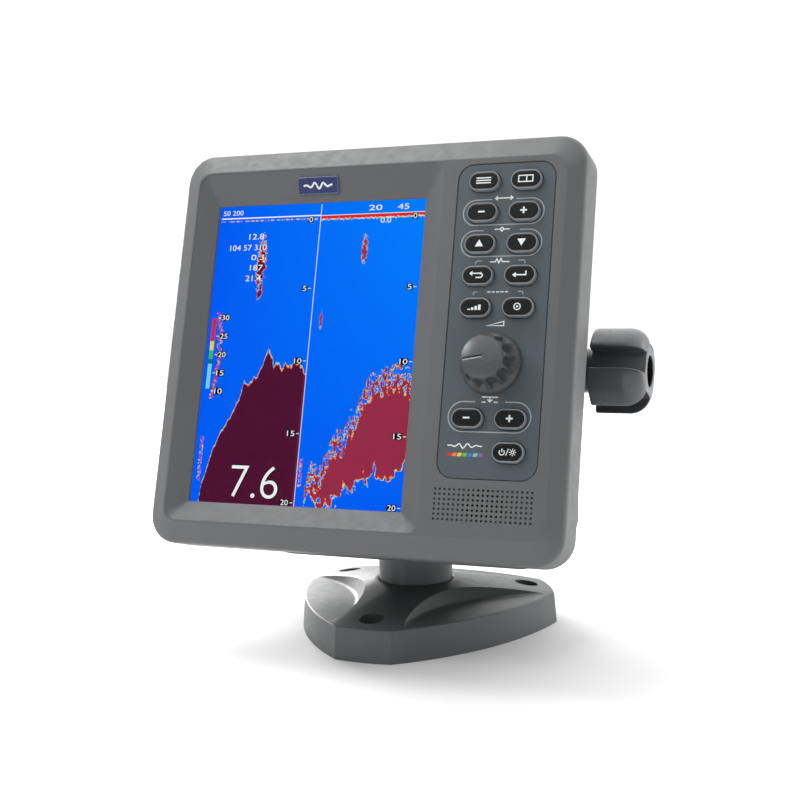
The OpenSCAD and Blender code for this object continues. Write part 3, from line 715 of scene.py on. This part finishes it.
def key(name):
    bm = bmesh.new()
    spot = face_middle(name)
    foot, top = [corner.z for corner in face_box(name)]

    def stages(size, profile):
        """Rings of a stadium, as (how far it is drawn in, height)."""
        return [ring(bm, stadium(spot.x, spot.y, size[0] - 2 * x, size[1] - 2 * x), z) for x, z in profile]

    shoulder = corner_curve((0, top - 1.3), (0.05, top - 0.35), (0.5, top - 0.3), 4)
    crown = corner_curve((0, top - 0.4), (0.04, top - 0.04), (0.5, top), 4)
    body = stages(KEY_BODY_SIZE, [(-1.1, foot), (-1.1, foot + 0.9), (0, foot + 0.9)] + shoulder)
    body += stages(KEY_WELL_SIZE, [(0, top - 0.3), (0.05, top - 0.75)])
    cap(bm, body[0])
    loft(bm, body)
    cover = stages(KEY_TOP_SIZE, [(0, top - 0.75)] + crown)
    bridge(bm, body[-1], cover[0], 1)
    loft(bm, cover, 1)
    cap(bm, cover[-1], 1)
    strokes, shapes = key_mark(name)
    for points, width in strokes:
        stroke(bm, [(spot.x + x, spot.y + y) for x, y in points], width, top + PRINT_RISE, 2)
    for points in shapes:
        patch(bm, [(spot.x + x, spot.y + y) for x, y in points], top + PRINT_RISE, 2)
    piece(name.replace("key_", "button_"), bm, FACE, name + "_cap", [KEY_BODY, KEY_TOP, WHITE_INK],
          name)


# ---- Gain knob ----

FLUTES = 12
FLUTE_CUTTER = 1.9
FLUTE_STEPS = 16


def fluted(radius, depth):
    """A circle with round hollows of the cutter's radius, depth deep."""
    centre = radius + FLUTE_CUTTER - depth
    half = math.pi / FLUTES
    points = []
    for i in range(FLUTES):
        for k in range(FLUTE_STEPS):
            angle = -half + 2 * half * k / FLUTE_STEPS
            cut = FLUTE_CUTTER ** 2 - (centre * math.sin(angle)) ** 2
            r = radius
            if depth > 0 and cut > 0:
                r = min(radius, centre * math.cos(angle) - math.sqrt(cut))
            turn = angle + (i + 0.5) * 2 * half
            points.append((r * math.cos(turn), r * math.sin(turn)))
    return points


def gain_dial():
    bm = bmesh.new()
    base, top = [corner.z for corner in face_box("gain_knob")]
    profile = [(13.1, base, 0), (13.5, base + 0.3, 0), (13.5, base + 1.1, 0), (13.2, base + 1.7, 0),
               (12.4, base + 2.6, 0), (11.9, base + 3.2, 0.6), (11.6, base + 3.9, 1.9),
               (11.1, base + 7.0, 2.3), (10.7, base + 9.2, 2.3), (10.3, top - 3.3, 2.1),
               (10.05, top - 2.4, 1.1), (9.75, top - 1.85, 0.35), (9.4, top - 1.5, 0)]
    rings = [ring(bm, fluted(r, deep), z) for r, z, deep in profile]
    cap(bm, rings[0])
    loft(bm, rings)

    def crown_height(r):
        return top - 1.1 * (r / 8.6) ** 2

    crown = [(9.1, top - 1.47), (8.95, top - 1.35), (8.9, top - 1.2)]
    crown += [(r, crown_height(r)) for r in (8.6, 7.4, 6.2, 5.0, 3.8, 2.6, 1.4, 0.5)]
    tops = [rings[-1]] + [ring(bm, fluted(r, 0), z) for r, z in crown]
    loft(bm, tops[:3])
    loft(bm, tops[2:], 1)
    cap(bm, tops[-1], 1)
    # The pointer, laid flat on the crown: slot 2 is a pale painted pointer line; slot 3 is a near-black
    # strip above it, a painted shadow standing in for the shaded upper wall of a recessed groove
    for slot, y0, y1 in ((3, -0.05, 0.75), (2, -0.55, -0.05)):
        rows = []
        for k in range(13):
            x = -8.1 + 8.7 * k / 12
            rows.append([bm.verts.new((x, y, crown_height(math.hypot(x, y)) + 0.05)) for y in (y0, y1)])
        for near, far in zip(rows, rows[1:]):
            bm.faces.new((near[0], far[0], far[1], near[1])).material_index = slot
    pointer = Matrix.Rotation(math.radians(8), 4, "Z")
    place = FACE @ Matrix.Translation((GAIN_SPOT.x, GAIN_SPOT.y, 0)) @ pointer
    piece("gain_dial_knob", bm, place, "gain_dial", [GAIN, GAIN_CAP, PALE_INK, KEY_TOP],
          "gain_knob")


# ---- Clamp knobs ----

GRIP_R = 20.0
GRIP_LENGTH = 25.4
GRIP_DOME = 9.0
GROOVE_FLOOR = 11.3
GROOVE_HALF = 5.2
GROOVE_TURN = 9.0


def lobed(radius):
    """Four lobes with flat-bottomed grooves between them."""
    half = GROOVE_HALF
    edge = math.degrees(math.asin(min(half / radius, 0.9)))
    mouth = around(edge, radius)[0]
    bottom = min(GROOVE_FLOOR, mouth - 0.02)
    lobe = arc(0, 0, radius, edge, 90 - edge, 9)[1:-1]
    quarter = [(mouth, -half), (bottom, -half), (bottom, half), (mouth, half)] + lobe
    points = [Matrix.Rotation(math.pi / 2 * k, 2) @ Vector(p) for k in range(4) for p in quarter]
    return filleted(points, ([0.9, 0.7, 0.7, 0.9] + [0] * len(lobe)) * 4)


def clamp_knob(side):
    name = "right" if side > 0 else "left"
    bm = bmesh.new()
    low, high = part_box(name + "_knob")
    inner = min(abs(low.x), abs(high.x)) / MM
    outer = max(abs(low.x), abs(high.x)) / MM - 0.8
    grip = outer - GRIP_LENGTH
    loft(bm, turned_rings(bm, [(4.0, inner), (10.2, inner), (10.5, inner + 0.3), (10.5, grip + 0.4)], 72))
    profile = [(GRIP_R - 1.1, grip), (GRIP_R - 0.3, grip + 0.35)]
    profile += [(GRIP_R, grip + z) for z in (1.1, 5, 9, 13, 16)]
    profile += arc(GRIP_R - GRIP_DOME, outer - GRIP_DOME, GRIP_DOME, 0, 90, 10)
    rings = [ring(bm, lobed(r), z) for r, z in profile]
    loft(bm, rings)
    fill(bm, [ring(bm, circle(0, 0, 10.4, 72), grip), rings[0]])
    well = turned_rings(bm, [(8.1, outer), (7.75, outer - 0.1), (7.5, outer - 0.45),
                             (7.5, outer - 11.8)], 64)
    fill(bm, [rings[-1], well[0]])
    loft(bm, well[:3])
    # The well's wall and floor take the near-black key-top material: painted shade deep inside the hole,
    # darker than the knob's own plastic
    loft(bm, well[2:], 1)
    cap(bm, well[-1], 1)
    place = tilt_axis(side) @ Matrix.Rotation(math.radians(-GROOVE_TURN * side), 4, "Z")
    piece(name + "_clamp_grip", bm, place, name + "_clamp_knob", [KNOB, KEY_TOP],
          name + "_knob", sharp=32)


# ---- Badge ----

def badge():
    bm = bmesh.new()
    low, high = face_box("badge_plate")
    lean = math.atan(RISE / (RECESS[3] - SCREEN[3]))
    w, h = (high.x - low.x) / 2, 4.0
    rings = box_rings(bm, (-w, w, -h, h, 0.8), [(0, -0.45), (0, 0.3), (-0.12, 0.42), (-0.32, 0.42),
                                                (-0.4, 0.3)])
    cap(bm, rings[0])
    loft(bm, rings, 1)
    cap(bm, rings[-1])
    wave = [(-7.5 + 0.4 * k, 1.5 * math.sin(k * 0.55) * math.exp(-((k - 19) / 12) ** 2))
            for k in range(38)]
    stroke(bm, wave, 0.9, 0.34, 2)
    place = FACE @ Matrix.Translation((low + high) / 2) @ Matrix.Rotation(lean, 4, "X")
    piece("badge", bm, place, "display_unit", [BADGE, BADGE_RIM, WHITE_INK], "badge_plate")


# ---- Picture ----

CELL = 0.3
PANEL_BACK = face_box("lcd_panel")[0].z
PANEL_FRONT = face_box("lcd_panel")[1].z - 0.16
ECHO_Z, PLATE_Z, SHADOW_Z, TEXT_Z = [PANEL_FRONT + rise for rise in (0.02, 0.04, 0.05, 0.06)]
PICTURE_W = SCREEN[1] - SCREEN[0]
PICTURE_H = SCREEN[3] - SCREEN[2]
DIVIDER = 53.2
COLOURS = ["blue", "echo", "red", "yellow", "cyan", "green", "teal", "magenta", "white", "black"]
BLUE, WHITE, BLACK = [COLOURS.index(name) for name in ("blue", "white", "black")]
READINGS = [
    ("50 200", (0.8, 1.5, 11.6, 3.9)), ("20", (77.6, 1.4, 84.2, 4.0)), ("45", (92.0, 1.4, 97.6, 4.0)),
    ("0.0", (84.0, 7.6, 89.2, 10.2)), ("12.8", (16.2, 13.4, 24.2, 16.2)),
    ("104 57 310", (6.4, 18.8, 26.0, 21.6)), ("0.3", (18.4, 23.8, 25.2, 26.4)),
    ("187", (18.2, 28.8, 25.0, 31.6)), ("21.4", (16.4, 34.0, 24.6, 36.8))]
DEPTH_READING = ("7.6", (19.6, 125, 44.2, 139.9))

LEFT_BOTTOM = [(3.3, 143), (4.1, 134), (5.5, 129), (8.1, 118), (11.4, 110), (15.5, 103), (19.5, 93.6),
               (21.4, 85), (24, 87), (26.3, 83), (28, 83), (30.6, 75.4), (32.5, 69.6), (34.8, 73.4),
               (36.1, 77.7), (38.3, 76), (40.6, 79.7), (41.8, 76.3), (44, 77.7), (47, 76.3),
               (50.7, 78), (53.1, 81.4)]
RIGHT_TOP = [(58, 135), (59.4, 124), (62, 126), (65, 126), (67, 120), (69.8, 112.7), (71, 109.8),
             (74.4, 110.5), (76.5, 106), (77.1, 100.5), (80, 100.4), (83.6, 88), (86, 84), (90, 81.5),
             (96, 80), (99.5, 78.8), (102.4, 80), (107, 83)]
RIGHT_BOTTOM = [(58, 141), (62, 138), (67, 143), (71, 140), (75.5, 139), (76.5, 132), (79.7, 136),
                (84.6, 129), (88.8, 132), (91, 124), (93, 129.6), (98, 129.6), (102, 125), (107, 121)]
FISH = [(24.1, 29, 2.5, 13), (24.6, 42, 1.3, 4.5), (77.1, 22.7, 1.5, 7), (58.2, 56.5, 0.7, 4.5)]


def level(points, x):
    """Height of a profile, given as points, at x."""
    for (x0, y0), (x1, y1) in zip(points, points[1:]):
        if x0 <= x <= x1:
            return y0 + (y1 - y0) * (x - x0) / (x1 - x0)
    return None


def wild(x, y, size, seed):
    return noise.noise(Vector((x / size, y / size, seed * 7.3)))


def banded(depth, steps):
    """Colour of an echo whose strength grows with depth: none, cyan, yellow, red, solid."""
    for limit, colour in zip(steps, (None, "cyan", "yellow", "red")):
        if depth < limit:
            return colour
    return "echo"


def left_pane(x, y):
    bottom = level(LEFT_BOTTOM, x)
    if bottom is not None:
        jag = 1.5 * wild(x, 0, 0.9, 1) + 0.9 * wild(x, y, 1.3, 2)
        return banded(y - bottom + jag, (0, 0.35, 0.7, 1.3))
    return None


def right_pane(x, y):
    top = level(RIGHT_TOP, x)
    bottom = level(RIGHT_BOTTOM, x)
    if top is None or bottom is None:
        return None
    from_foot = bottom - y + 5.0 * wild(x, y * 0.6, 1.7, 5) + 2.0 * wild(x, y, 0.8, 6)
    if y < top - 3:
        return None
    share = (y - top) / 10
    broken = 2.7 * wild(x, y * 0.5, 1.4, 3) + 1.5 * wild(x, y, 0.75, 4)
    from_top = 1.9 * (share + broken * max(0.0, 1 - max(0.0, share - 0.6) * 1.3))
    return banded(min(from_top, from_foot * 0.8), (0.2, 0.55, 1.0, 1.6))


def fish(x, y):
    best = -1.0
    for u, v, w, h in FISH:
        best = max(best, 1 - ((x - u) / w) ** 2 - ((y - v) / h) ** 2)
    if best <= -0.6:
        return None
    return banded(best + 1.3 * wild(x, y, 1.1, 8), (0.1, 0.25, 0.35, 0.75))


def surface(x, y):
    if x < DIVIDER:
        if 5.1 < y < 5.7:
            return "white"
        if 6.5 < y < 7.2 and wild(x, 0, 0.7, 9) > -0.15:
            return ("yellow", "cyan", "magenta")[int(x / 0.9) % 3]
        return None
    if 5.3 < y < 5.8:
        return "white"
    foot = 7.3 + 1.3 * wild(x, 0, 0.8, 10)
    if 5.8 <= y < foot:
        return "red"
    if foot <= y < foot + 0.45:
        return "yellow" if wild(x, y, 0.5, 11) > 0 else "white"
    return None


def scope(x, y):
    """The colour scale and the echo strength strip at the left edge."""
    bands = [(65.9, "red"), (70.6, "yellow"), (74.7, "green"), (77, "teal"), (89, "cyan")]
    if 1.0 < x < 2.9 and 55 < y < 89:
        return next(colour for limit, colour in bands if y < limit)
    edge = 4.6 + 1.6 * math.sin((y - 52) / 13) + 1.4 * wild(y, 0, 0.9, 12)
    if 52 < y < 94 and abs(x - edge) < 0.55:
        return "red" if wild(x, y, 0.7, 13) > -0.2 else "yellow"
    for middle, top, foot in ((2.0, 112, 133), (54.8, 121, 134)):
        if abs(x - middle) < 0.9 and top < y < foot and wild(x, y, 0.55, 14) > 0.12:
            return "red" if wild(x, y, 0.9, 15) > 0 else "yellow"
    return None


def pixel(x, y):
    if abs(x - DIVIDER) < 0.2:
        return "white"
    found = surface(x, y) or scope(x, y) or fish(x, y)
    if found:
        return found
    return left_pane(x, y) if x < DIVIDER else right_pane(x, y)


def runs():
    """Vertical runs of equal colour as (x, top, foot, colour)."""
    columns = int(PICTURE_W / CELL)
    rows = int(PICTURE_H / CELL)
    for i in range(columns):
        x = (i + 0.5) * CELL
        start, current = 0, None
        for j in range(rows + 1):
            colour = pixel(x, (j + 0.5) * CELL) if j < rows else "end"
            if colour != current:
                if current:
                    yield i * CELL, start * CELL, j * CELL, current
                start, current = j, colour


def digits(bm, text, box, z, slot, thin=0.0):
    """Numbers set to fill a box (left, top, right, foot) in the picture."""
    curve = bpy.data.curves.new("digits", "FONT")
    curve.body = text
    curve.offset = -thin
    source = bpy.data.objects.new("digits", curve)
    show(source)
    flat = evaluated(source)
    bpy.data.objects.remove(source)
    xs = [v.co.x for v in flat.vertices]
    ys = [v.co.y for v in flat.vertices]
    left, top, right, foot = box
    spread = (right - left) / (max(xs) - min(xs))
    stretch = (foot - top) / (max(ys) - min(ys))
    made = [bm.verts.new((SCREEN[0] + left + (v.co.x - min(xs)) * spread,
                          SCREEN[3] - foot + (v.co.y - min(ys)) * stretch, z)) for v in flat.vertices]
    for p in flat.polygons:
        bm.faces.new([made[k] for k in p.vertices]).material_index = slot
    bpy.data.meshes.remove(flat)


def block(bm, left, top, right, foot, z, slot):
    u, v = SCREEN[0], SCREEN[3]
    patch(bm, [(u + left, v - foot), (u + right, v - foot), (u + right, v - top), (u + left, v - top)],
          z, slot)


def picture():
    bm = bmesh.new()
    slab = box_rings(bm, SCREEN, [(2.5, PANEL_BACK), (2.5, PANEL_FRONT)])
    loft(bm, slab, BLACK)
    cap(bm, slab[0], BLACK)
    cap(bm, slab[1], BLUE)
    for x, top, foot, colour in runs():
        block(bm, x, top, x + CELL, foot, ECHO_Z, COLOURS.index(colour))
    for v, text in zip((54.6, 63.6, 72.6, 81.5, 90.2), ("30", "25", "20", "15", "10")):
        block(bm, 5.6, v - 1.6, 10.2, v + 1.6, PLATE_Z, BLACK)
        block(bm, 3.9, v - 0.15, 5.3, v + 0.15, PLATE_Z, WHITE)
        digits(bm, text, (5.9, v - 1.25, 9.9, v + 1.25), TEXT_Z, WHITE)
    for x in (48.3, 101.0):
        for v, text in zip((7.3, 40.8, 75.4, 109.4, 141.2), ("0", "5", "10", "15", "20")):
            half = 0.95 * len(text)
            block(bm, x - half - 0.4, v - 1.55, x + half + 0.4, v + 1.55, PLATE_Z, BLACK)
            digits(bm, text, (x - half, v - 1.25, x + half, v + 1.25), TEXT_Z, WHITE)
            block(bm, x + half + 0.9, v - 0.15, x + half + 2.3, v + 0.15, PLATE_Z, WHITE)
    for text, box in READINGS:
        digits(bm, text, box, TEXT_Z, WHITE)
    text, box = DEPTH_READING
    for dx, dy in ((-0.35, 0), (0.35, 0), (0, -0.35), (0, 0.35), (0.4, 0.4)):
        shadow = (box[0] + dx, box[1] + dy, box[2] + dx, box[3] + dy)
        digits(bm, text, shadow, SHADOW_Z + 0.001 * dx, BLACK, 0.012)
    digits(bm, text, box, TEXT_Z + 0.01, WHITE, 0.012)
    blue = glow("pixels_blue", srgb(0, 92, 248), srgb(0, 128, 255), srgb(0, 94, 248), light=1.05)
    echo = glow("pixels_echo", srgb(80, 18, 50), srgb(154, 45, 75), span=(-0.029, -0.026))
    plain = {"red": (222, 40, 46), "yellow": (240, 214, 60), "cyan": (120, 214, 246),
             "green": (70, 190, 80), "teal": (20, 110, 110), "magenta": (190, 60, 190),
             "white": (246, 248, 250), "black": (8, 10, 16)}
    looks = [blue, echo] + [glow("pixels_" + name, srgb(*plain[name]), srgb(*plain[name]))
                            for name in COLOURS[2:]]
    piece("lcd_picture", bm, FACE, "display_unit", looks, "lcd_panel", closed=False)


# ---- Base ----

CORNERS = [30, 150, 270]
CORNER_REACH = 71.0
ARC_CENTRE = 82.5
ARC_RADIUS = 140.0
CORNER_HALF = 11.45
BASE_RIM = 15.5
FIXING_RADIUS = 57.5
SCOOP_DISTANCE = 101.8
SCOOP_FOOT = 15.5
STEM_R = 20.8
BUSH_BORE_R = 8.0
BORE_FLOOR = 9.0
HEAD_POCKET_FLOOR = 13.0
WALL_TOP = 12.2


def base_angles():
    """Directions of the outline's points, in degrees."""
    side = 120 - 2 * CORNER_HALF
    made = []
    for corner in CORNERS:
        made += [corner - CORNER_HALF + 2 * CORNER_HALF * k / 4 for k in range(4)]
        made += [corner + CORNER_HALF + side * k / 30 for k in range(30)]
    return made


def base_reach(angle):
    """Distance from the stem's axis to the outline."""
    reach = CORNER_REACH
    for corner in CORNERS:
        turn = math.radians(angle - corner)
        root = ARC_RADIUS ** 2 - (ARC_CENTRE * math.sin(turn)) ** 2
        reach = min(reach, ARC_CENTRE * math.cos(turn) + math.sqrt(root))
    return reach


def base_plan(inset):
    return [around(a, base_reach(a) - inset) for a in base_angles()]


def disc_plan(radius):
    return [around(a, radius) for a in base_angles()]


def base():
    """A revolved and cornered shell, with ribs, fixing posts and a scoop on each long side."""
    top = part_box("base_shell")[1].z / MM
    rim = BASE_RIM
    bm = bmesh.new()
    plans = [(base_plan(0), 0.0), (base_plan(1.1), rim - 0.9), (base_plan(1.35), rim - 0.25),
             (base_plan(1.95), rim), (disc_plan(STEM_R + 0.6), top - 0.25), (disc_plan(STEM_R), top),
             (disc_plan(19.3), top), (disc_plan(18.95), top - 0.3), (disc_plan(18.9), HEAD_POCKET_FLOOR),
             (disc_plan(BUSH_BORE_R), HEAD_POCKET_FLOOR), (disc_plan(BUSH_BORE_R), BORE_FLOOR),
             (disc_plan(23.6), BORE_FLOOR), (disc_plan(23.6), WALL_TOP), (base_plan(4.1), WALL_TOP),
             (base_plan(3.0), 0.0)]
    rings = [ring(bm, points, z) for points, z in plans]
    loft(bm, rings + [rings[0]])
    added, ribs, cuts = bmesh.new(), bmesh.new(), bmesh.new()
    for corner in CORNERS:
        u, v = around(corner, FIXING_RADIUS)
        solid(added, turned_rings(added, [(8.5, 0.02), (8.5, 13.7)], 48, u, v))
        turn = Matrix.Rotation(math.radians(corner), 2)
        plan = [tuple(turn @ Vector(p)) for p in ((22, -1.5), (50, -1.5), (50, 1.5), (22, 1.5))]
        solid(ribs, [ring(ribs, plan, z) for z in (3.0, 13.5)])
        bore = [(2.75, -2.0), (2.75, 6.0), (6.0, 6.01), (6.0, 30.0)]
        solid(cuts, turned_rings(cuts, bore, 48, u, v))
        scoop = [(45.0, SCOOP_FOOT - 0.05), (69.6, SCOOP_FOOT), (71.0, 15.75), (71.9, 16.4), (76.1, 23.8),
                 (76.4, 30.0)]
        solid(cuts, turned_rings(cuts, scoop, 180, *around(corner + 180, SCOOP_DISTANCE)))
    bm = carve(carve(carve(bm, added, "UNION"), ribs, "UNION"), cuts, "DIFFERENCE")
    piece("base_body", bm, Matrix.Scale(MM, 4), "base", [BASE], "base_shell", rounding=0.55)


# ---- CAD parts that keep their shape ----

def cad_parts():
    """Each material with the rounding of its parts' edges, in millimetres."""
    soft = [
        (YOKE, {"yoke": 1.0}),
        (CASE, {"rear_case": 1.2}),
        (NYLON, {"swivel_bush": 0.3}),
        (WINDOW, {"cover_glass": 0.2}),
        (DIFFUSER, {"backlight": 0.2}),
        (SILICONE, {"keypad_mat": 0.3}),
        (RUBBER, {"case_seal": 0.2, "friction_discs": 0.3}),
        (STEEL, {"swivel_bolt": 0.4, "swivel_washer": 0.2, "swivel_nut": 0.4, "lcd_tray": 0.2,
                 "lcd_bracket": 0.2, "lcd_screws": 0.2, "gain_potentiometer": 0.3, "gain_nut": 0.2,
                 "gain_shaft": 0.3, "board_screws": 0.2, "socket_nuts": 0.3, "earth_terminal": 0.25,
                 "case_screws": 0.3, "left_knob_stud": 0.4, "right_knob_stud": 0.4}),
        (DARK_METAL, {"left_knob_washer": 0.25, "right_knob_washer": 0.25}),
        (BRASS, {"board_posts": 0.2, "pivot_inserts": 0.3}),
        (BOARD, {"key_board": 0.1, "main_board": 0.1, "sonar_board": 0.1}),
        (CHIPS, {"main_board_parts": 0.2, "speaker": 0.3}),
        (WINDING, {"sonar_transformer": 0.4}),
        (CAN, {"power_capacitors": 0.6}),
        (SINK, {"heat_sink": 0.2}),
        (SOCKET, {"power_socket": 0.4, "sonar_socket": 0.4, "data_socket": 0.4}),
        (RIBBON, {"ribbon_cables": 0.1})]
    for look, widths in soft:
        for node, width in widths.items():
            soften(node, width, look)


# ---- Floor, light and camera ----

BACKDROP = 1.1
CAMERA_PLACE = (230.76, -590.69, 178.23)
CAMERA_YAW = 21.895
CAMERA_RISE = 5.770
CAMERA_ROLL = -1.243
CAMERA_LENS = 57.24


def floor():
    bm = bmesh.new()
    bmesh.ops.create_grid(bm, x_segments=12, y_segments=12, size=3.0)
    mesh = bpy.data.meshes.new("floor")
    bm.to_mesh(mesh)
    bm.free()
    g = Graph("floor_paper")
    paper = g.noise(9.0, 4.0)
    g.set(Base_Color=g.mix(paper, (0.77, 0.77, 0.77, 1.0), (0.81, 0.81, 0.81, 1.0)))
    g.set(Roughness=g.range(paper, 0.3, 0.7, 0.7, 0.8), Specular_IOR_Level=0.1)
    mesh.materials.append(g.material)
    made = bpy.data.objects.new("floor", mesh)
    show(made)


def light(name, place, aim, size, power):
    data = bpy.data.lights.new(name, "AREA")
    data.shape = "RECTANGLE"
    data.size, data.size_y = size
    data.energy = power
    made = bpy.data.objects.new(name, data)
    made.location = place
    made.rotation_euler = (Vector(aim) - Vector(place)).to_track_quat("-Z", "Y").to_euler()
    show(made)


def studio():
    """A white backdrop, with light that is brighter overhead and darker in front."""
    world = bpy.data.worlds.new("studio")
    world.use_nodes = True
    nodes, links = world.node_tree.nodes, world.node_tree.links
    where = nodes.new("ShaderNodeTexCoord")
    parts = nodes.new("ShaderNodeSeparateXYZ")
    links.new(where.outputs["Generated"], parts.inputs[0])
    total = nodes.new("ShaderNodeMath")
    spans = [("Y", (-0.3, 0.3, 0.1, BACKDROP)), ("Z", (0.2, 0.85, 0.0, 1.0))]
    for socket, (axis, numbers) in zip(total.inputs, spans):
        span = nodes.new("ShaderNodeMapRange")
        for entry, number in zip(span.inputs[1:5], numbers):
            entry.default_value = number
        links.new(parts.outputs[axis], span.inputs[0])
        links.new(span.outputs[0], socket)
    seen = nodes.new("ShaderNodeMix")
    links.new(nodes.new("ShaderNodeLightPath").outputs["Is Camera Ray"], seen.inputs["Factor"])
    links.new(total.outputs[0], seen.inputs["A"])
    seen.inputs["B"].default_value = BACKDROP
    links.new(seen.outputs["Result"], nodes["Background"].inputs["Strength"])
    nodes["Background"].inputs["Color"].default_value = (1.0, 1.0, 1.0, 1.0)
    bpy.context.scene.world = world
    middle = (0.0, -0.03, 0.12)
    light("key_light", (-1.0, -0.8, 1.0), middle, (0.5, 0.5), 5.0)
    light("top_light", (-0.5, -0.1, 1.25), middle, (0.5, 0.5), 5.0)
    light("left_light", (-0.95, 0.9, 0.42), (0.0, 0.0, 0.03), (0.7, 0.5), 20.0)
    light("right_light", (0.95, 0.7, 0.35), middle, (0.5, 0.9), 2.5)
    bpy.context.scene.view_settings.view_transform = "Standard"


def camera():
    yaw, rise, roll = [math.radians(a) for a in (CAMERA_YAW, CAMERA_RISE, CAMERA_ROLL)]
    right = Vector((math.cos(yaw), math.sin(yaw), 0))
    back = Vector((math.sin(yaw) * math.cos(rise), -math.cos(yaw) * math.cos(rise), math.sin(rise)))
    up = back.cross(right)
    turned = (right * math.cos(roll) + up * math.sin(roll), up * math.cos(roll) - right * math.sin(roll))
    data = bpy.data.cameras.new("camera")
    data.sensor_width = 36.0
    data.lens = CAMERA_LENS
    data.clip_start = 0.01
    made = bpy.data.objects.new("camera", data)
    rotation = Matrix((turned[0], turned[1], back)).transposed().to_4x4()
    made.matrix_world = Matrix.Translation(Vector(CAMERA_PLACE) * MM) @ rotation
    show(made)
    bpy.context.scene.camera = made


housing()
keypad_film()
for key_name in KEYS:
    key(key_name)
gain_dial()
clamp_knob(1)
clamp_knob(-1)
badge()
picture()
base()
cad_parts()
floor()
studio()
camera()
